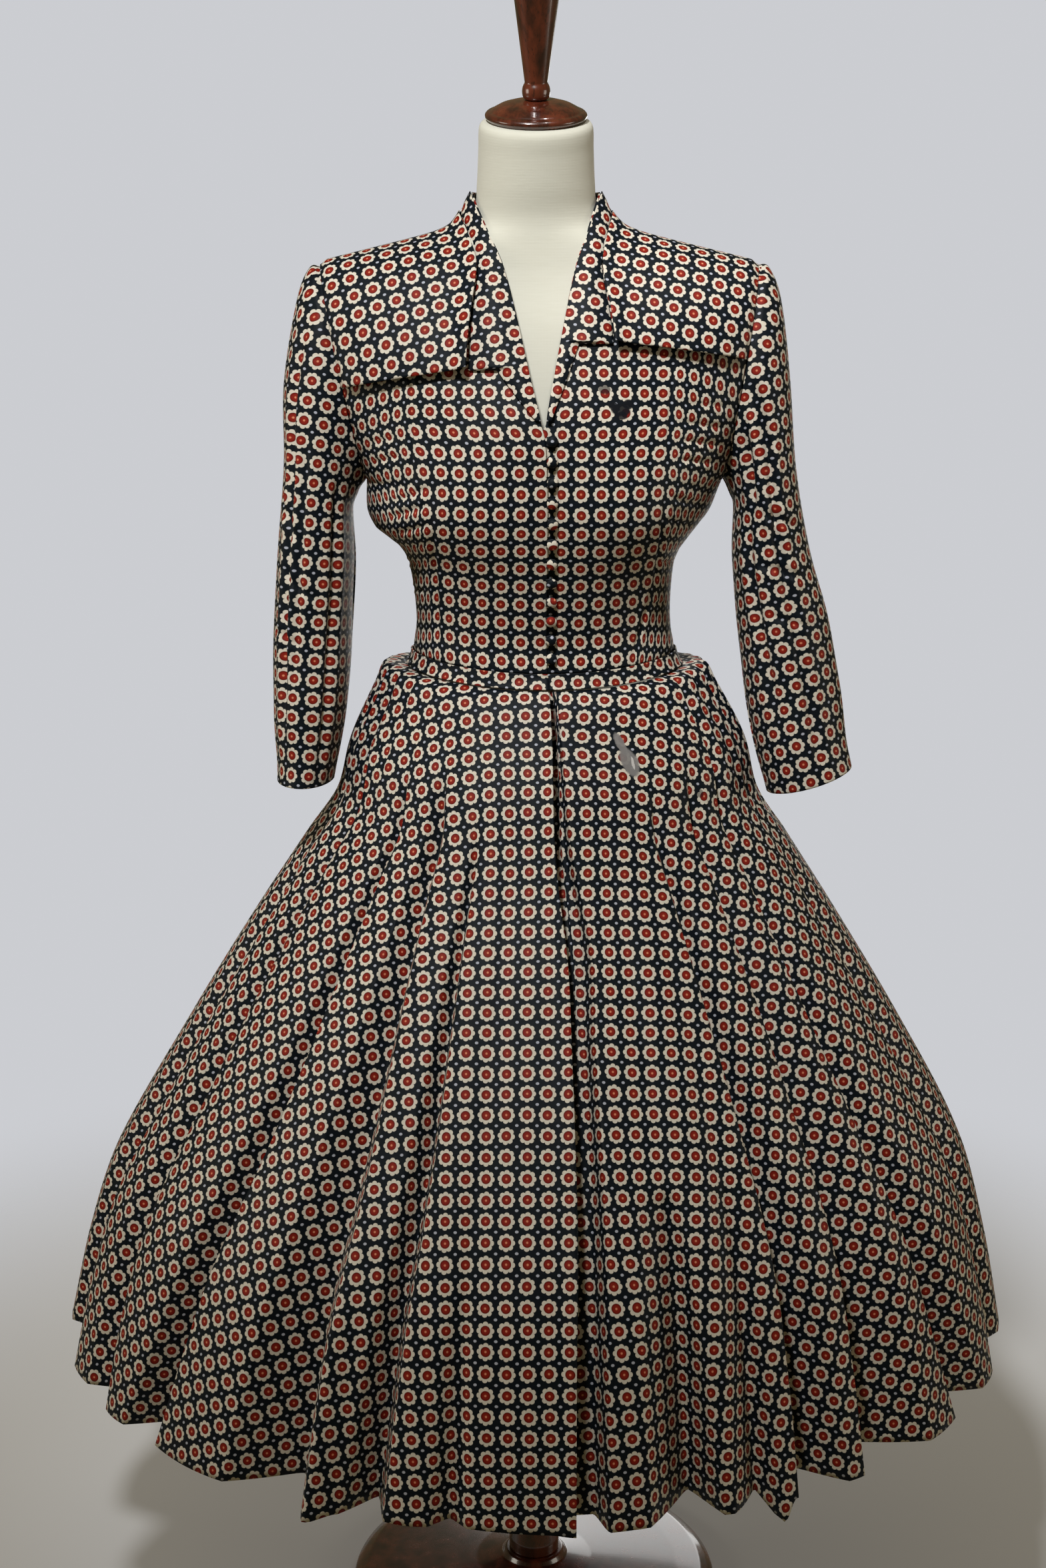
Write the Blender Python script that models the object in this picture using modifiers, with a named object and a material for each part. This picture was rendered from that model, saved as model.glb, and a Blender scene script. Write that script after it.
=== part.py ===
"""Shirtwaist dress worn on a limbless dress form, in metres, +Z up, front towards -Y.

The dress is cut and sewn from separate cloth walls: two bodice fronts, a back, two wing yokes,
two lapels, a back collar, two sleeves, a waistband, four skirt gores and twelve buttons.  Every
wall is a function of two numbers, so one function makes the panel, its neighbour along the seam
and whatever lies on top of it.  The origin is at the middle of the underside of the stand's base.
"""
import math

import bmesh
import bpy
from mathutils import Vector

# ---- driving sizes ---------------------------------------------------------------------------
WALL = 0.0015            # cloth thickness
GAP = 0.0003             # clearance at seams and under whatever lies on a panel
LAYER = WALL + 0.0009    # how far a layer's outer face stands out from the panel under it

BASE_RADIUS = 0.190
BASE_HEIGHT = 0.042
POLE_RADIUS = 0.0185
NECK_TILT = math.radians(15)
NECK_TOP = 1.4836

BAND_HEIGHT = 0.0140     # waistband
BAND_PROUD = 0.0008
BAND_CLOSURE = 1.2       # angle in degrees at which its ends meet
SEAM_ALLOWANCE = 0.0006  # vertical clearance above and below the waistband

BUTTON_COUNT = 12
BUTTON_TOP = 1.2065
BUTTON_PITCH = 0.0180
BUTTON_RADIUS = 0.0050
BUTTON_DOME = 0.0042
BUTTON_SHANK = 0.0014    # radius of the shank
BUTTON_LIFT = 0.0010     # clearance between the dome and the overlapping edge
BUTTON_X = 0.0062
CLOSURE_EDGE = 0.0020    # x of the overlapping front edge
UNDERLAP = 0.0080        # reach of the button stand under that edge
UNDERLAP_DEPTH = 0.0026
STAND_EDGE = 0.0100      # x at which the button stand ends and the other front's face begins
STAND_STEP = 0.0025

ARMPIT_LEVEL = 0.45      # level of the underarm point on a bodice panel
ARMHOLE_LOW = 1.164
ARMHOLE_HIGH = 1.358
ARMHOLE_X = 0.166
SHOULDER_X = 0.200
ARMHOLE_FRONT = 0.055
ARMHOLE_BACK = 0.050
NECK_POINT_X = 0.0787    # where the neck seam meets the shoulder seam
NECK_TIP_X = 0.0580      # top edge of the collar at the side of the neck
SHOULDER_SLOPE = 0.24
COLLAR_STAND = 0.0301
COLLAR_FILLET = 0.0100
BACK_NECK_LEVEL = 0.86   # level at which the back panel reaches the neck seam
NECK_LEVEL = 0.580       # level at which the neck edges begin to spread
PARTED = 0.585           # level at which the fronts no longer overlap
CENTRE_SPLIT = 1e-7      # u of the back's two centre columns, one on each side of the neck
SHOULDER_SEAM = 0.0012   # clearance along the shoulder seam
SLEEVE_SEAM = 0.0004     # clearance along the armhole seam

SIDES = ((-1, "right"), (1, "left"))              # the wearer's right and left
YOKE_EDGE = {"right": 0.705, "left": 0.750}       # level of each yoke's free lower edge
YOKE_LIFT = 0.0055       # how far that edge stands off the front
YOKE_ROLL = 0.0012
YOKE_END = 0.980         # share of the panel's width at which a yoke stops short of the armhole
YOKE_COLUMNS = 8
LAPEL_TAIL = {"right": 0.150, "left": 0.090}      # lapel's share of the width below the yoke
LAPEL_TIP = 0.020        # its share at its lower end
LAPEL_LOW = 0.590        # level of its lower end
LAPEL_ROLL = 0.0040
LAPEL_COLUMNS = 3

BUST_X, BUST_Z = 0.083, 1.138
BUST_SPREAD = 0.040
BUST_RISE = 0.011

# ---- bodice sections: level 0 at the waist seam, 1 at the shoulder seam --------------------------
FRONT_CENTRE = (
    # level, x, y, z       centre front, then up the neck edge from level 0.58
    (0.00, 0.0000, -0.0985, 0.9955),
    (0.08, 0.0000, -0.0950, 1.0200),
    (0.20, 0.0000, -0.1035, 1.0650),
    (0.36, 0.0000, -0.1175, 1.1250),
    (0.45, 0.0000, -0.1200, 1.1650),
    (0.58, 0.0020, -0.1165, 1.2200),
    (0.68, 0.0105, -0.1035, 1.2620),
    (0.78, 0.0205, -0.0845, 1.3090),
    (0.88, 0.0325, -0.0600, 1.3580),
    (0.94, 0.0460, -0.0380, 1.3910),
    (0.98, 0.0566, -0.0135, 1.4175),
    (1.00, NECK_TIP_X, 0.0000, 1.4222),
)
BACK_CENTRE = (
    # level, x, y, z       centre back, then round the neck seam to the neck point
    (0.00, 0.0000, 0.0880, 1.0035),
    (0.08, 0.0000, 0.0855, 1.0300),
    (0.20, 0.0000, 0.0920, 1.0720),
    (0.36, 0.0000, 0.1030, 1.1300),
    (0.45, 0.0000, 0.1090, 1.1720),
    (0.60, 0.0000, 0.1130, 1.2350),
    (0.75, 0.0000, 0.1050, 1.3100),
    (0.86, 0.0000, 0.0740, 1.3800),
    (0.90, 0.0310, 0.0690, 1.3840),
    (0.95, 0.0640, 0.0440, 1.3880),
    (1.00, NECK_POINT_X, 0.0000, 1.3909),
)
SIDE_SEAM = (
    # level, x, z
    (0.00, 0.1245, 1.0035),
    (0.08, 0.1205, 1.0300),
    (0.19, 0.1230, 1.0680),
    (0.26, 0.1290, 1.0930),
    (0.31, 0.1415, 1.1100),
    (0.38, 0.1590, 1.1340),
    (0.45, 0.1660, 1.1640),
)
LAPEL_FOLD = (
    # level, share of the panel's width from the neck edge to the lapel's outer fold
    (0.58, 0.340),
    (0.69, 0.285),
    (0.80, 0.205),
    (0.90, 0.105),
    (0.96, 0.065),
    (1.00, 0.050),
)

# ---- sleeves: each ring spans from its under point to its over point, seen from the front --------
SLEEVE_RIGHT = (
    # station, under x, under z, over x, over z, centre y, half depth
    (0.00, 0.1660, 1.1640, 0.2000, 1.3580, 0.000, 0.0550),
    (0.05, 0.1680, 1.1615, 0.2100, 1.3565, 0.000, 0.0565),
    (0.12, 0.1705, 1.1580, 0.2225, 1.3300, 0.000, 0.0590),
    (0.22, 0.1745, 1.1500, 0.2370, 1.2550, -0.002, 0.0615),
    (0.32, 0.1790, 1.1350, 0.2415, 1.1850, -0.004, 0.0635),
    (0.45, 0.1780, 1.0900, 0.2490, 1.1050, -0.009, 0.0630),
    (0.60, 0.1805, 1.0270, 0.2545, 1.0300, -0.016, 0.0600),
    (0.78, 0.1865, 0.9560, 0.2560, 0.9500, -0.027, 0.0560),
    (0.90, 0.1935, 0.9120, 0.2525, 0.9050, -0.032, 0.0530),
    (1.00, 0.2000, 0.8760, 0.2520, 0.8740, -0.036, 0.0500),
)
SLEEVE_LEFT = (
    # station, under x, under z, over x, over z, centre y, half depth
    (0.00, 0.1660, 1.1640, 0.2000, 1.3580, 0.000, 0.0550),
    (0.05, 0.1680, 1.1615, 0.2100, 1.3565, 0.000, 0.0565),
    (0.12, 0.1705, 1.1580, 0.2210, 1.3300, 0.000, 0.0590),
    (0.22, 0.1740, 1.1500, 0.2300, 1.2550, 0.000, 0.0610),
    (0.32, 0.1775, 1.1350, 0.2350, 1.1750, -0.002, 0.0615),
    (0.45, 0.1775, 1.0880, 0.2480, 1.1050, -0.006, 0.0590),
    (0.60, 0.1815, 1.0330, 0.2660, 1.0380, -0.015, 0.0540),
    (0.78, 0.1900, 0.9680, 0.2800, 0.9700, -0.026, 0.0490),
    (0.90, 0.2005, 0.9120, 0.2860, 0.9230, -0.037, 0.0460),
    (1.00, 0.2095, 0.8620, 0.2910, 0.8870, -0.050, 0.0430),
)

# ---- skirt: smooth bell from the waistband to the hem, then its folds -----------------------------
SKIRT_ROWS = (
    # level, side x, side z, front y, front z, back y, back z
    (0.00, 0.1300, 0.9882, 0.1040, 0.9802, 0.0935, 0.9882),
    (0.03, 0.1500, 0.9905, 0.1160, 0.9660, 0.1110, 0.9810),
    (0.06, 0.1600, 0.9720, 0.1260, 0.9480, 0.1260, 0.9650),
    (0.14, 0.1870, 0.9170, 0.1570, 0.8940, 0.1600, 0.9130),
    (0.21, 0.2010, 0.8660, 0.1765, 0.8480, 0.1810, 0.8650),
    (0.27, 0.2295, 0.8240, 0.1970, 0.8050, 0.2030, 0.8200),
    (0.39, 0.2790, 0.7470, 0.2430, 0.7300, 0.2500, 0.7430),
    (0.56, 0.3455, 0.6360, 0.3065, 0.6210, 0.3110, 0.6320),
    (0.75, 0.4135, 0.5100, 0.3670, 0.4980, 0.3720, 0.5060),
    (0.87, 0.4415, 0.4200, 0.3920, 0.4110, 0.3990, 0.4170),
    (1.00, 0.4615, 0.3250, 0.4100, 0.3200, 0.4180, 0.3230),
)
FOLDS = (
    # angle at the waist, half-way down and at the hem, level where it starts, depth at the hem,
    # half widths on its two sides (degrees; 0 is centre front, 90 the wearer's left side)
    (-172, -172, -172, 0.30, 0.034, 4.0, 4.0),
    (-157, -157, -158, 0.10, 0.038, 5.5, 3.6),
    (-142, -142, -143, 0.45, 0.026, 3.6, 3.6),
    (-123, -124, -125, 0.20, 0.036, 3.6, 5.5),
    (-98, -99, -100, 0.25, 0.028, 5.0, 4.0),
    (-75, -78, -78.5, 0.30, 0.032, 5.5, 7.5),
    (-62, -63, -62, 0.14, 0.021, 3.6, 3.4),
    (-45, -44, -51, 0.14, 0.026, 3.0, 3.4),
    (-33, -28.5, -29, 0.12, 0.034, 7.0, 4.6),
    (-21, -17.5, -18.5, 0.20, 0.026, 2.8, 2.2),
    (-9.5, -9.5, -9.5, 0.72, 0.010, 2.0, 2.2),
    (15, 16, 18.4, 0.62, 0.036, 6.5, 1.8),
    (24, 24.5, 25.8, 0.62, 0.020, 4.5, 1.4),
    (29, 31, 32.5, 0.16, 0.030, 3.4, 3.4),
    (44, 42, 42.5, 0.14, 0.032, 4.4, 7.0),
    (58, 52.5, 60, 0.12, 0.028, 4.0, 4.5),
    (72, 74, 74.5, 0.30, 0.018, 5.0, 6.0),
    (98, 99, 100, 0.30, 0.030, 3.6, 5.0),
    (118, 118, 119, 0.20, 0.036, 5.0, 3.8),
    (141, 141, 141, 0.15, 0.038, 3.6, 5.5),
    (156, 156, 155, 0.35, 0.028, 3.6, 3.6),
    (169, 169, 168, 0.55, 0.024, 3.4, 3.4),
)
LOBES = (
    # hem lobes that stand out or hang low: angle, level where it starts, rise outward, drop, half width
    (-24.4, 0.55, 0.016, 0.003, 3.2),
    (27.2, 0.80, 0.004, 0.018, 1.7),
)
OPENING_EDGE = (
    # level, angle of the opening's edge, width of the sunken strip beside it (degrees)
    (0.00, 1.3, 1.6),
    (0.19, 1.3, 3.4),
    (0.33, 3.6, 4.2),
    (0.45, 3.8, 3.2),
    (1.00, 4.0, 2.8),
)
OPENING_LAP = 4.0        # degrees of the under gore that pass beneath the opening's edge
OPENING_WALL = (0.80, 1.05, 1.30)   # shares of the strip's width over which the gore comes back out
OPENING_DEPTH = 0.030    # depth of the strip at the hem
FOLD_START_WIDTH = 0.35  # width of a fold at the waist as a share of its width at the hem
LOBE_RISE = 0.009        # how far the cloth between two folds stands out at the hem

# ---- lateral lean of the garment on its form -----------------------------------------------------
SWAY = (
    # height, x
    (0.32, 0.0000),
    (0.45, 0.0030),
    (0.57, 0.0085),
    (0.75, 0.0105),
    (0.92, 0.0115),
    (1.02, 0.0078),
    (1.16, 0.0082),
    (1.26, 0.0052),
    (1.36, 0.0030),
    (1.41, 0.0000),
)

# ---- dress form ------------------------------------------------------------------------------------
FORM_ROWS = (
    # height, half width, front, back, centre y, forward tilt in degrees
    (0.800, 0.118, 0.084, 0.090, 0.000, 0),
    (0.806, 0.138, 0.099, 0.106, 0.000, 0),
    (0.860, 0.150, 0.106, 0.116, 0.000, 0),
    (0.930, 0.135, 0.096, 0.104, 0.000, 0),
    (1.020, 0.112, 0.084, 0.077, 0.000, 0),
    (1.070, 0.117, 0.091, 0.082, 0.000, 0),
    (1.130, 0.140, 0.105, 0.092, 0.000, 0),
    (1.190, 0.150, 0.105, 0.100, 0.000, 0),
    (1.250, 0.158, 0.094, 0.101, 0.000, 0),
    (1.300, 0.166, 0.079, 0.093, 0.000, 0),
    (1.335, 0.166, 0.063, 0.078, 0.000, 0),
    (1.352, 0.156, 0.052, 0.062, 0.000, 0),
    (1.364, 0.136, 0.0440, 0.052, 0.000, 0),
    (1.374, 0.109, 0.0405, 0.050, 0.000, 0),
    (1.3825, 0.0845, 0.0405, 0.050, 0.000, 0),
    (1.392, 0.0640, 0.0455, 0.0500, 0.000, 1),
    (1.405, 0.0562, 0.0480, 0.0500, -0.001, 3),
    (1.430, 0.0535, 0.0520, 0.0500, -0.004, 7),
    (1.460, 0.0520, 0.0510, 0.0500, -0.009, 12),
    (1.4765, 0.0515, 0.0505, 0.0500, -0.012, 15),
    (1.4815, 0.0495, 0.0485, 0.0480, -0.013, 15),
    (NECK_TOP, 0.0455, 0.0445, 0.0440, -0.0135, 15),
)

COLOURS = {
    # name: base colour, roughness
    "printed_sateen": ((0.075, 0.085, 0.150), 0.45),
    "form_cloth": ((0.780, 0.760, 0.690), 0.85),
    "dark_wood": ((0.090, 0.022, 0.012), 0.25),
}


# ---- small helpers ---------------------------------------------------------------------------------
def clear_scene():
    for item in list(bpy.data.objects):
        bpy.data.objects.remove(item, do_unlink=True)


def material(name):
    found = bpy.data.materials.get(name)
    if found:
        return found
    colour, roughness = COLOURS[name]
    made = bpy.data.materials.new(name)
    made.use_nodes = True
    shader = made.node_tree.nodes["Principled BSDF"]
    shader.inputs["Base Color"].default_value = (*colour, 1.0)
    shader.inputs["Roughness"].default_value = roughness
    shader.inputs["Metallic"].default_value = 0.0
    return made


def ramp(value, low, high):
    """Smooth step from 0 at low to 1 at high."""
    share = min(1.0, max(0.0, (value - low) / (high - low)))
    return share * share * (3.0 - 2.0 * share)


def along(rows, at):
    """Values of a table at a position, on smooth curves through its rows."""
    last = len(rows) - 1
    lower = 0
    while lower < last - 1 and at > rows[lower + 1][0]:
        lower += 1
    left, right = rows[lower], rows[lower + 1]
    span = right[0] - left[0]
    t = (at - left[0]) / span

    def slope(index, column):
        before, after = rows[max(index - 1, 0)], rows[min(index + 1, last)]
        return (after[column] - before[column]) / (after[0] - before[0])

    values = []
    for column in range(1, len(left)):
        start, end = slope(lower, column) * span, slope(lower + 1, column) * span
        values.append((2 * t ** 3 - 3 * t ** 2 + 1) * left[column] + (t ** 3 - 2 * t ** 2 + t) * start
                      + (3 * t ** 2 - 2 * t ** 3) * right[column] + (t ** 3 - t ** 2) * end)
    return values


def sway(point, lowest=0.0):
    """The point, moved sideways with the lean of the garment at its height."""
    height = min(max(point.z, lowest, SWAY[0][0]), SWAY[-1][0])
    return point + Vector((along(SWAY, height)[0], 0.0, 0.0))


def facing_out(surface, u, v, outward):
    """Unit normal of a surface function, on the side given by outward (1 or -1)."""
    step = 1e-3
    across = surface(u + step, v) - surface(u - step, v)
    up = surface(u, v + step) - surface(u, v - step)
    return across.cross(up).normalized() * outward


def link(mesh, name, slot):
    mesh.materials.append(material(slot))
    item = bpy.data.objects.new(name, mesh)
    COLLECTION.objects.link(item)
    return item


def on_panel(u, v):
    """Height of a panel's outer face over its own surface."""
    return 0.0


def cloth(name, surface, columns, rows, outward, height=on_panel, split=None,
          trim=(GAP, GAP, GAP, GAP)):
    """A cloth wall: a grid laid height(u, v) over surface(u, v), with its inner face WALL behind.

    columns and rows are the u and v positions of the grid lines.  trim is the clearance kept at
    the seams along the first column, last column, first row and last row; half of it is this
    panel's.  Grid lines that meet are sewn together; split names a column after which the cloth
    is open wherever the two lines don't meet.
    """
    wide, tall = len(columns), len(rows)
    outer = [[surface(u, v) + facing_out(surface, u, v, outward) * height(u, v) for u in columns]
             for v in rows]
    inner = [[surface(u, v) + facing_out(surface, u, v, outward) * (height(u, v) - WALL)
              for u in columns] for v in rows]
    for points in (outer, inner):
        whole = [list(line) for line in points]
        for j, line in enumerate(whole):
            points[j][0] = line[0] + (line[1] - line[0]).normalized() * trim[0] / 2
            points[j][-1] = line[-1] + (line[-2] - line[-1]).normalized() * trim[1] / 2
        for i in range(wide):
            points[0][i] += (whole[1][i] - whole[0][i]).normalized() * trim[2] / 2
            points[-1][i] += (whole[-2][i] - whole[-1][i]).normalized() * trim[3] / 2

    bm = bmesh.new()
    bmesh.ops.create_grid(bm, x_segments=wide - 1, y_segments=tall - 1, size=0.5)
    place = {}
    for vert in bm.verts:
        place[vert] = (round((vert.co.x + 0.5) * (wide - 1)), round((vert.co.y + 0.5) * (tall - 1)))
    if split is not None:
        strip = [face for face in bm.faces
                 if {place[vert][0] for vert in face.verts} == {split, split + 1}]
        bmesh.ops.delete(bm, geom=strip, context="FACES")
    behind = {}
    for vert in bm.verts:
        i, j = place[vert]
        vert.co = outer[j][i]
        behind[vert.co.copy().freeze()] = inner[j][i]
    bmesh.ops.remove_doubles(bm, verts=list(bm.verts), dist=1e-6)
    grown = bmesh.ops.extrude_face_region(bm, geom=list(bm.faces), use_keep_orig=True)
    for vert in (item for item in grown["geom"] if isinstance(item, bmesh.types.BMVert)):
        vert.co = behind[vert.co.copy().freeze()]
    bmesh.ops.recalc_face_normals(bm, faces=list(bm.faces))
    if bm.calc_volume(signed=True) < 0.0:
        bmesh.ops.reverse_faces(bm, faces=list(bm.faces))
    mesh = bpy.data.meshes.new(name)
    bm.to_mesh(mesh)
    bm.free()
    mesh.shade_smooth()
    return link(mesh, name, "printed_sateen")


def even(low, high, count):
    """count + 1 positions from low to high."""
    return [low + (high - low) * k / count for k in range(count + 1)]


def stretched(surface, start, end):
    """A surface whose u runs over 0..1 between start(v) and end(v)."""
    def spread(u, v):
        low, high = start(v), end(v)
        return surface(low + (high - low) * u, v)
    return spread


# ---- bodice ------------------------------------------------------------------------------------------
def armhole(turn, depth):
    """Point of the armhole: turn 0 at the shoulder tip, pi at the underarm."""
    middle, reach = (ARMHOLE_HIGH + ARMHOLE_LOW) / 2, (ARMHOLE_HIGH - ARMHOLE_LOW) / 2
    z = middle + reach * math.cos(turn)
    x = ARMHOLE_X + (SHOULDER_X - ARMHOLE_X) * (z - ARMHOLE_LOW) / (ARMHOLE_HIGH - ARMHOLE_LOW)
    return Vector((x, depth * math.sin(turn), z))


def ridge(x):
    """Height of the shoulder line, rising to the collar at the side of the neck."""
    stand = COLLAR_STAND * math.exp((NECK_TIP_X - x) / COLLAR_FILLET)
    return ARMHOLE_HIGH + SHOULDER_SLOPE * (SHOULDER_X - x) + stand


def panel_sweep(v):
    """Angle that a panel turns through from its centre to its side at a level."""
    above = max(0.0, (v - ARMPIT_LEVEL) / (1.0 - ARMPIT_LEVEL))
    return math.radians(90 - 42 * ramp(above, 0.0, 0.5))


def bodice(front, u, v):
    """Left half of the bodice: u from the centre or neck edge to the side seam or armhole."""
    cx, cy, cz = along(FRONT_CENTRE if front else BACK_CENTRE, v)
    if not front and v <= BACK_NECK_LEVEL:
        cx = 0.0
    above = max(0.0, (v - ARMPIT_LEVEL) / (1.0 - ARMPIT_LEVEL))
    if above:
        edge = armhole(math.pi * (1.0 - above), -ARMHOLE_FRONT if front else ARMHOLE_BACK)
    else:
        x, z = along(SIDE_SEAM, v)
        edge = Vector((x, 0.0, z))
    sweep = panel_sweep(v)
    turn = u * sweep
    x = cx + (edge.x - cx) * math.sin(turn) / math.sin(sweep)
    y = edge.y + (cy - edge.y) * (math.cos(turn) - math.cos(sweep)) / (1.0 - math.cos(sweep))
    low_share = math.sin(u * math.pi / 2) ** 2
    share = low_share + (u - low_share) * ramp(above, 0.0, 0.5)
    start = NECK_TIP_X if front else NECK_POINT_X
    on_ridge = start + (x - cx) / (edge.x - cx) * (SHOULDER_X - start)
    ridge_share = (ridge(start) - ridge(on_ridge)) / (ridge(start) - ridge(SHOULDER_X))
    share += (ridge_share - share) * ramp(above, 0.5, 1.0)
    z = cz + (edge.z - cz) * share
    if front:
        off = ((x - BUST_X) ** 2 + (z - BUST_Z) ** 2) / (2 * BUST_SPREAD ** 2)
        y -= BUST_RISE * math.exp(-off)
    return Vector((x, y, z))


def mirrored(side, point):
    """The point on the wearer's left (side 1) or right (side -1), with the garment's lean."""
    return sway(Vector((point.x * side, point.y, point.z)))


def bodice_front(side):
    """Front panel; the wearer's left carries the button stand beneath the right one's edge."""
    def surface(u, v):
        point = bodice(True, u, v)
        if side > 0:
            under = 1.0 - ramp(point.x, STAND_EDGE, STAND_EDGE + STAND_STEP)
            point.y += UNDERLAP_DEPTH * under * (1.0 - ramp(v, PARTED, PARTED + 0.035))
        return mirrored(side, point)
    return surface


def centre_share(x, v):
    """u of a point of a front panel at a small distance x from the centre."""
    sweep = panel_sweep(v)
    return x * math.sin(sweep) / (sweep * bodice(True, 1.0, v).x)


def front_start(side, v):
    """u of a front panel's centre edge at a level."""
    closed = centre_share(-UNDERLAP if side > 0 else -CLOSURE_EDGE, v)
    return closed * (1.0 - ramp(v, PARTED - 0.040, PARTED))


def fold_share(v):
    return along(LAPEL_FOLD, max(v, NECK_LEVEL))[0]


def front_panel(side):
    """Front panel with u counted in grid columns, first the lapel's, then the yoke's."""
    base = bodice_front(side)

    def surface(u, v):
        start, fold = front_start(side, v), fold_share(v)
        open_share = ramp(v, PARTED, PARTED + 0.035)
        marks = [start]
        for k, x in ((1, STAND_EDGE), (2, STAND_EDGE + STAND_STEP)):
            closed = centre_share(x, v)
            marks.append(closed + (start + (fold - start) * k / LAPEL_COLUMNS - closed) * open_share)
        marks.append(fold)
        if u >= LAPEL_COLUMNS:
            return base(fold + (1.0 - fold) * (u - LAPEL_COLUMNS) / YOKE_COLUMNS, v)
        column = max(0, int(u))
        return base(marks[column] + (marks[column + 1] - marks[column]) * (u - column), v)
    return surface


def front_rows(side_name):
    """Grid rows of a front panel."""
    return (even(0.0, ARMPIT_LEVEL, 6) + [0.50, PARTED - 0.040, PARTED, PARTED + 0.035, 0.66]
            + yoke_rows(side_name))


def back_panel(u, v):
    return mirrored(1 if u >= 0 else -1, bodice(False, abs(u), v))


def yoke_rows(side_name):
    """Grid rows from a yoke's lower edge to the shoulder seam, shared by all that lies there."""
    return even(YOKE_EDGE[side_name], 0.90, 4) + [0.935, 0.968, 1.0]


def build_bodice():
    width = LAPEL_COLUMNS + YOKE_COLUMNS
    for side, name in SIDES:
        cloth("bodice_front_" + name, front_panel(side), even(0, width, width), front_rows(name), side,
              trim=(GAP, GAP, GAP, SHOULDER_SEAM))
    rows = even(0.0, ARMPIT_LEVEL, 6) + even(ARMPIT_LEVEL, BACK_NECK_LEVEL, 5)[1:] + even(BACK_NECK_LEVEL, 1.0, 4)[1:]
    half = [CENTRE_SPLIT] + even(0.0, 1.0, 8)[1:]
    columns = [-u for u in reversed(half)] + half
    cloth("bodice_back", back_panel, columns, rows, -1, split=len(half) - 1,
          trim=(GAP, GAP, GAP, SHOULDER_SEAM))


def build_yokes():
    """Wing yokes: the shoulder part of each front, lifted off it towards a free lower edge."""
    for side, name in SIDES:
        low = YOKE_EDGE[name]

        def height(u, v, low=low):
            free = 1.0 - ramp(v, low, low + 0.16)
            sewn = ramp(u, 0.72, 1.0)
            return LAYER + YOKE_ROLL * ramp(u, 0.0, 0.15) + YOKE_LIFT * free * (1.0 - 0.85 * sewn)

        base = stretched(bodice_front(side), fold_share, lambda v: YOKE_END)
        cloth("yoke_" + name, base, even(0.0, 1.0, YOKE_COLUMNS), yoke_rows(name), side, height)


def build_lapels():
    """Lapels: the neck edges of the fronts folded back, wide at the yoke's edge."""
    for side, name in SIDES:
        low = YOKE_EDGE[name]
        tail = LAPEL_TAIL[name]

        def reach(v, low=low, tail=tail):
            tapered = LAPEL_TIP + (tail - LAPEL_TIP) * (v - LAPEL_LOW) / (low - LAPEL_LOW)
            return tapered + (fold_share(v) - tapered) * ramp(v, low - 0.008, low)

        def height(u, v, reach=reach):
            roll = min(LAPEL_ROLL, LAPEL_ROLL * reach(v) / 0.15)
            return LAYER + roll * math.sin(math.pi * min(max(u, 0.0), 1.0))

        def neck_face(u, v, side=side):
            return mirrored(side, bodice(True, u, v))

        base = stretched(neck_face, lambda v: 0.0, reach)
        rows = even(LAPEL_LOW, low - 0.008, 3) + yoke_rows(name)
        cloth("lapel_" + name, base, even(0.0, 1.0, LAPEL_COLUMNS), rows, side, height)


def collar_back(u, v):
    """Stand round the back of the neck: u -1..1 between the shoulder seams, v bottom to top."""
    level = BACK_NECK_LEVEL + (1.0 - BACK_NECK_LEVEL) * abs(u)
    seam = bodice(False, 0.0, level)
    turn = abs(u) * math.pi / 2
    top = Vector((NECK_TIP_X * math.sin(turn), NECK_TIP_X * math.cos(turn), ridge(NECK_TIP_X)))
    point = seam.lerp(top, v)
    return mirrored(1 if u >= 0 else -1, point)


def build_collar():
    half = even(0.0, 1.0, 4)
    columns = [-u for u in reversed(half)] + half[1:]
    cloth("collar_back", collar_back, columns, even(0.0, 1.0, 3), -1,
          trim=(SHOULDER_SEAM, SHOULDER_SEAM, 4 * GAP, 0.0))


# ---- sleeves -------------------------------------------------------------------------------------------
def sleeve(side, rows):
    def surface(u, v):
        under_x, under_z, over_x, over_z, middle_y, depth = along(rows, v)
        turn = 2 * math.pi * u
        centre_x, centre_z = (under_x + over_x) / 2, (under_z + over_z) / 2
        lift = math.cos(turn)
        point = Vector((centre_x + (over_x - under_x) / 2 * lift + SLEEVE_SEAM * (1.0 - v),
                        middle_y - depth * math.sin(turn), centre_z + (over_z - under_z) / 2 * lift))
        point.x *= side
        return sway(point, lowest=ARMHOLE_LOW)
    return surface


def build_sleeves():
    for (side, name), rows in zip(SIDES, (SLEEVE_RIGHT, SLEEVE_LEFT)):
        cloth("sleeve_" + name, sleeve(side, rows), even(0.0, 1.0, 16),
              [0.0, 0.05, 0.12, 0.22, 0.32, 0.45, 0.60, 0.75, 0.88, 1.0], side,
              trim=(0.0, 0.0, 0.0, 0.0))


# ---- skirt ---------------------------------------------------------------------------------------------
def bell(angle, v):
    """Smooth skirt without folds, at an angle in degrees round the body."""
    side_x, side_z, front_y, front_z, back_y, back_z = along(SKIRT_ROWS, v)
    turn = math.radians(angle)
    reach, low = (front_y, front_z) if math.cos(turn) > 0 else (back_y, back_z)
    share = math.sin(turn) ** 2
    return Vector((side_x * math.sin(turn), -reach * math.cos(turn), side_z * share + low * (1 - share)))


def opening_edge(v):
    return along(OPENING_EDGE, v)[0]


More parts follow.
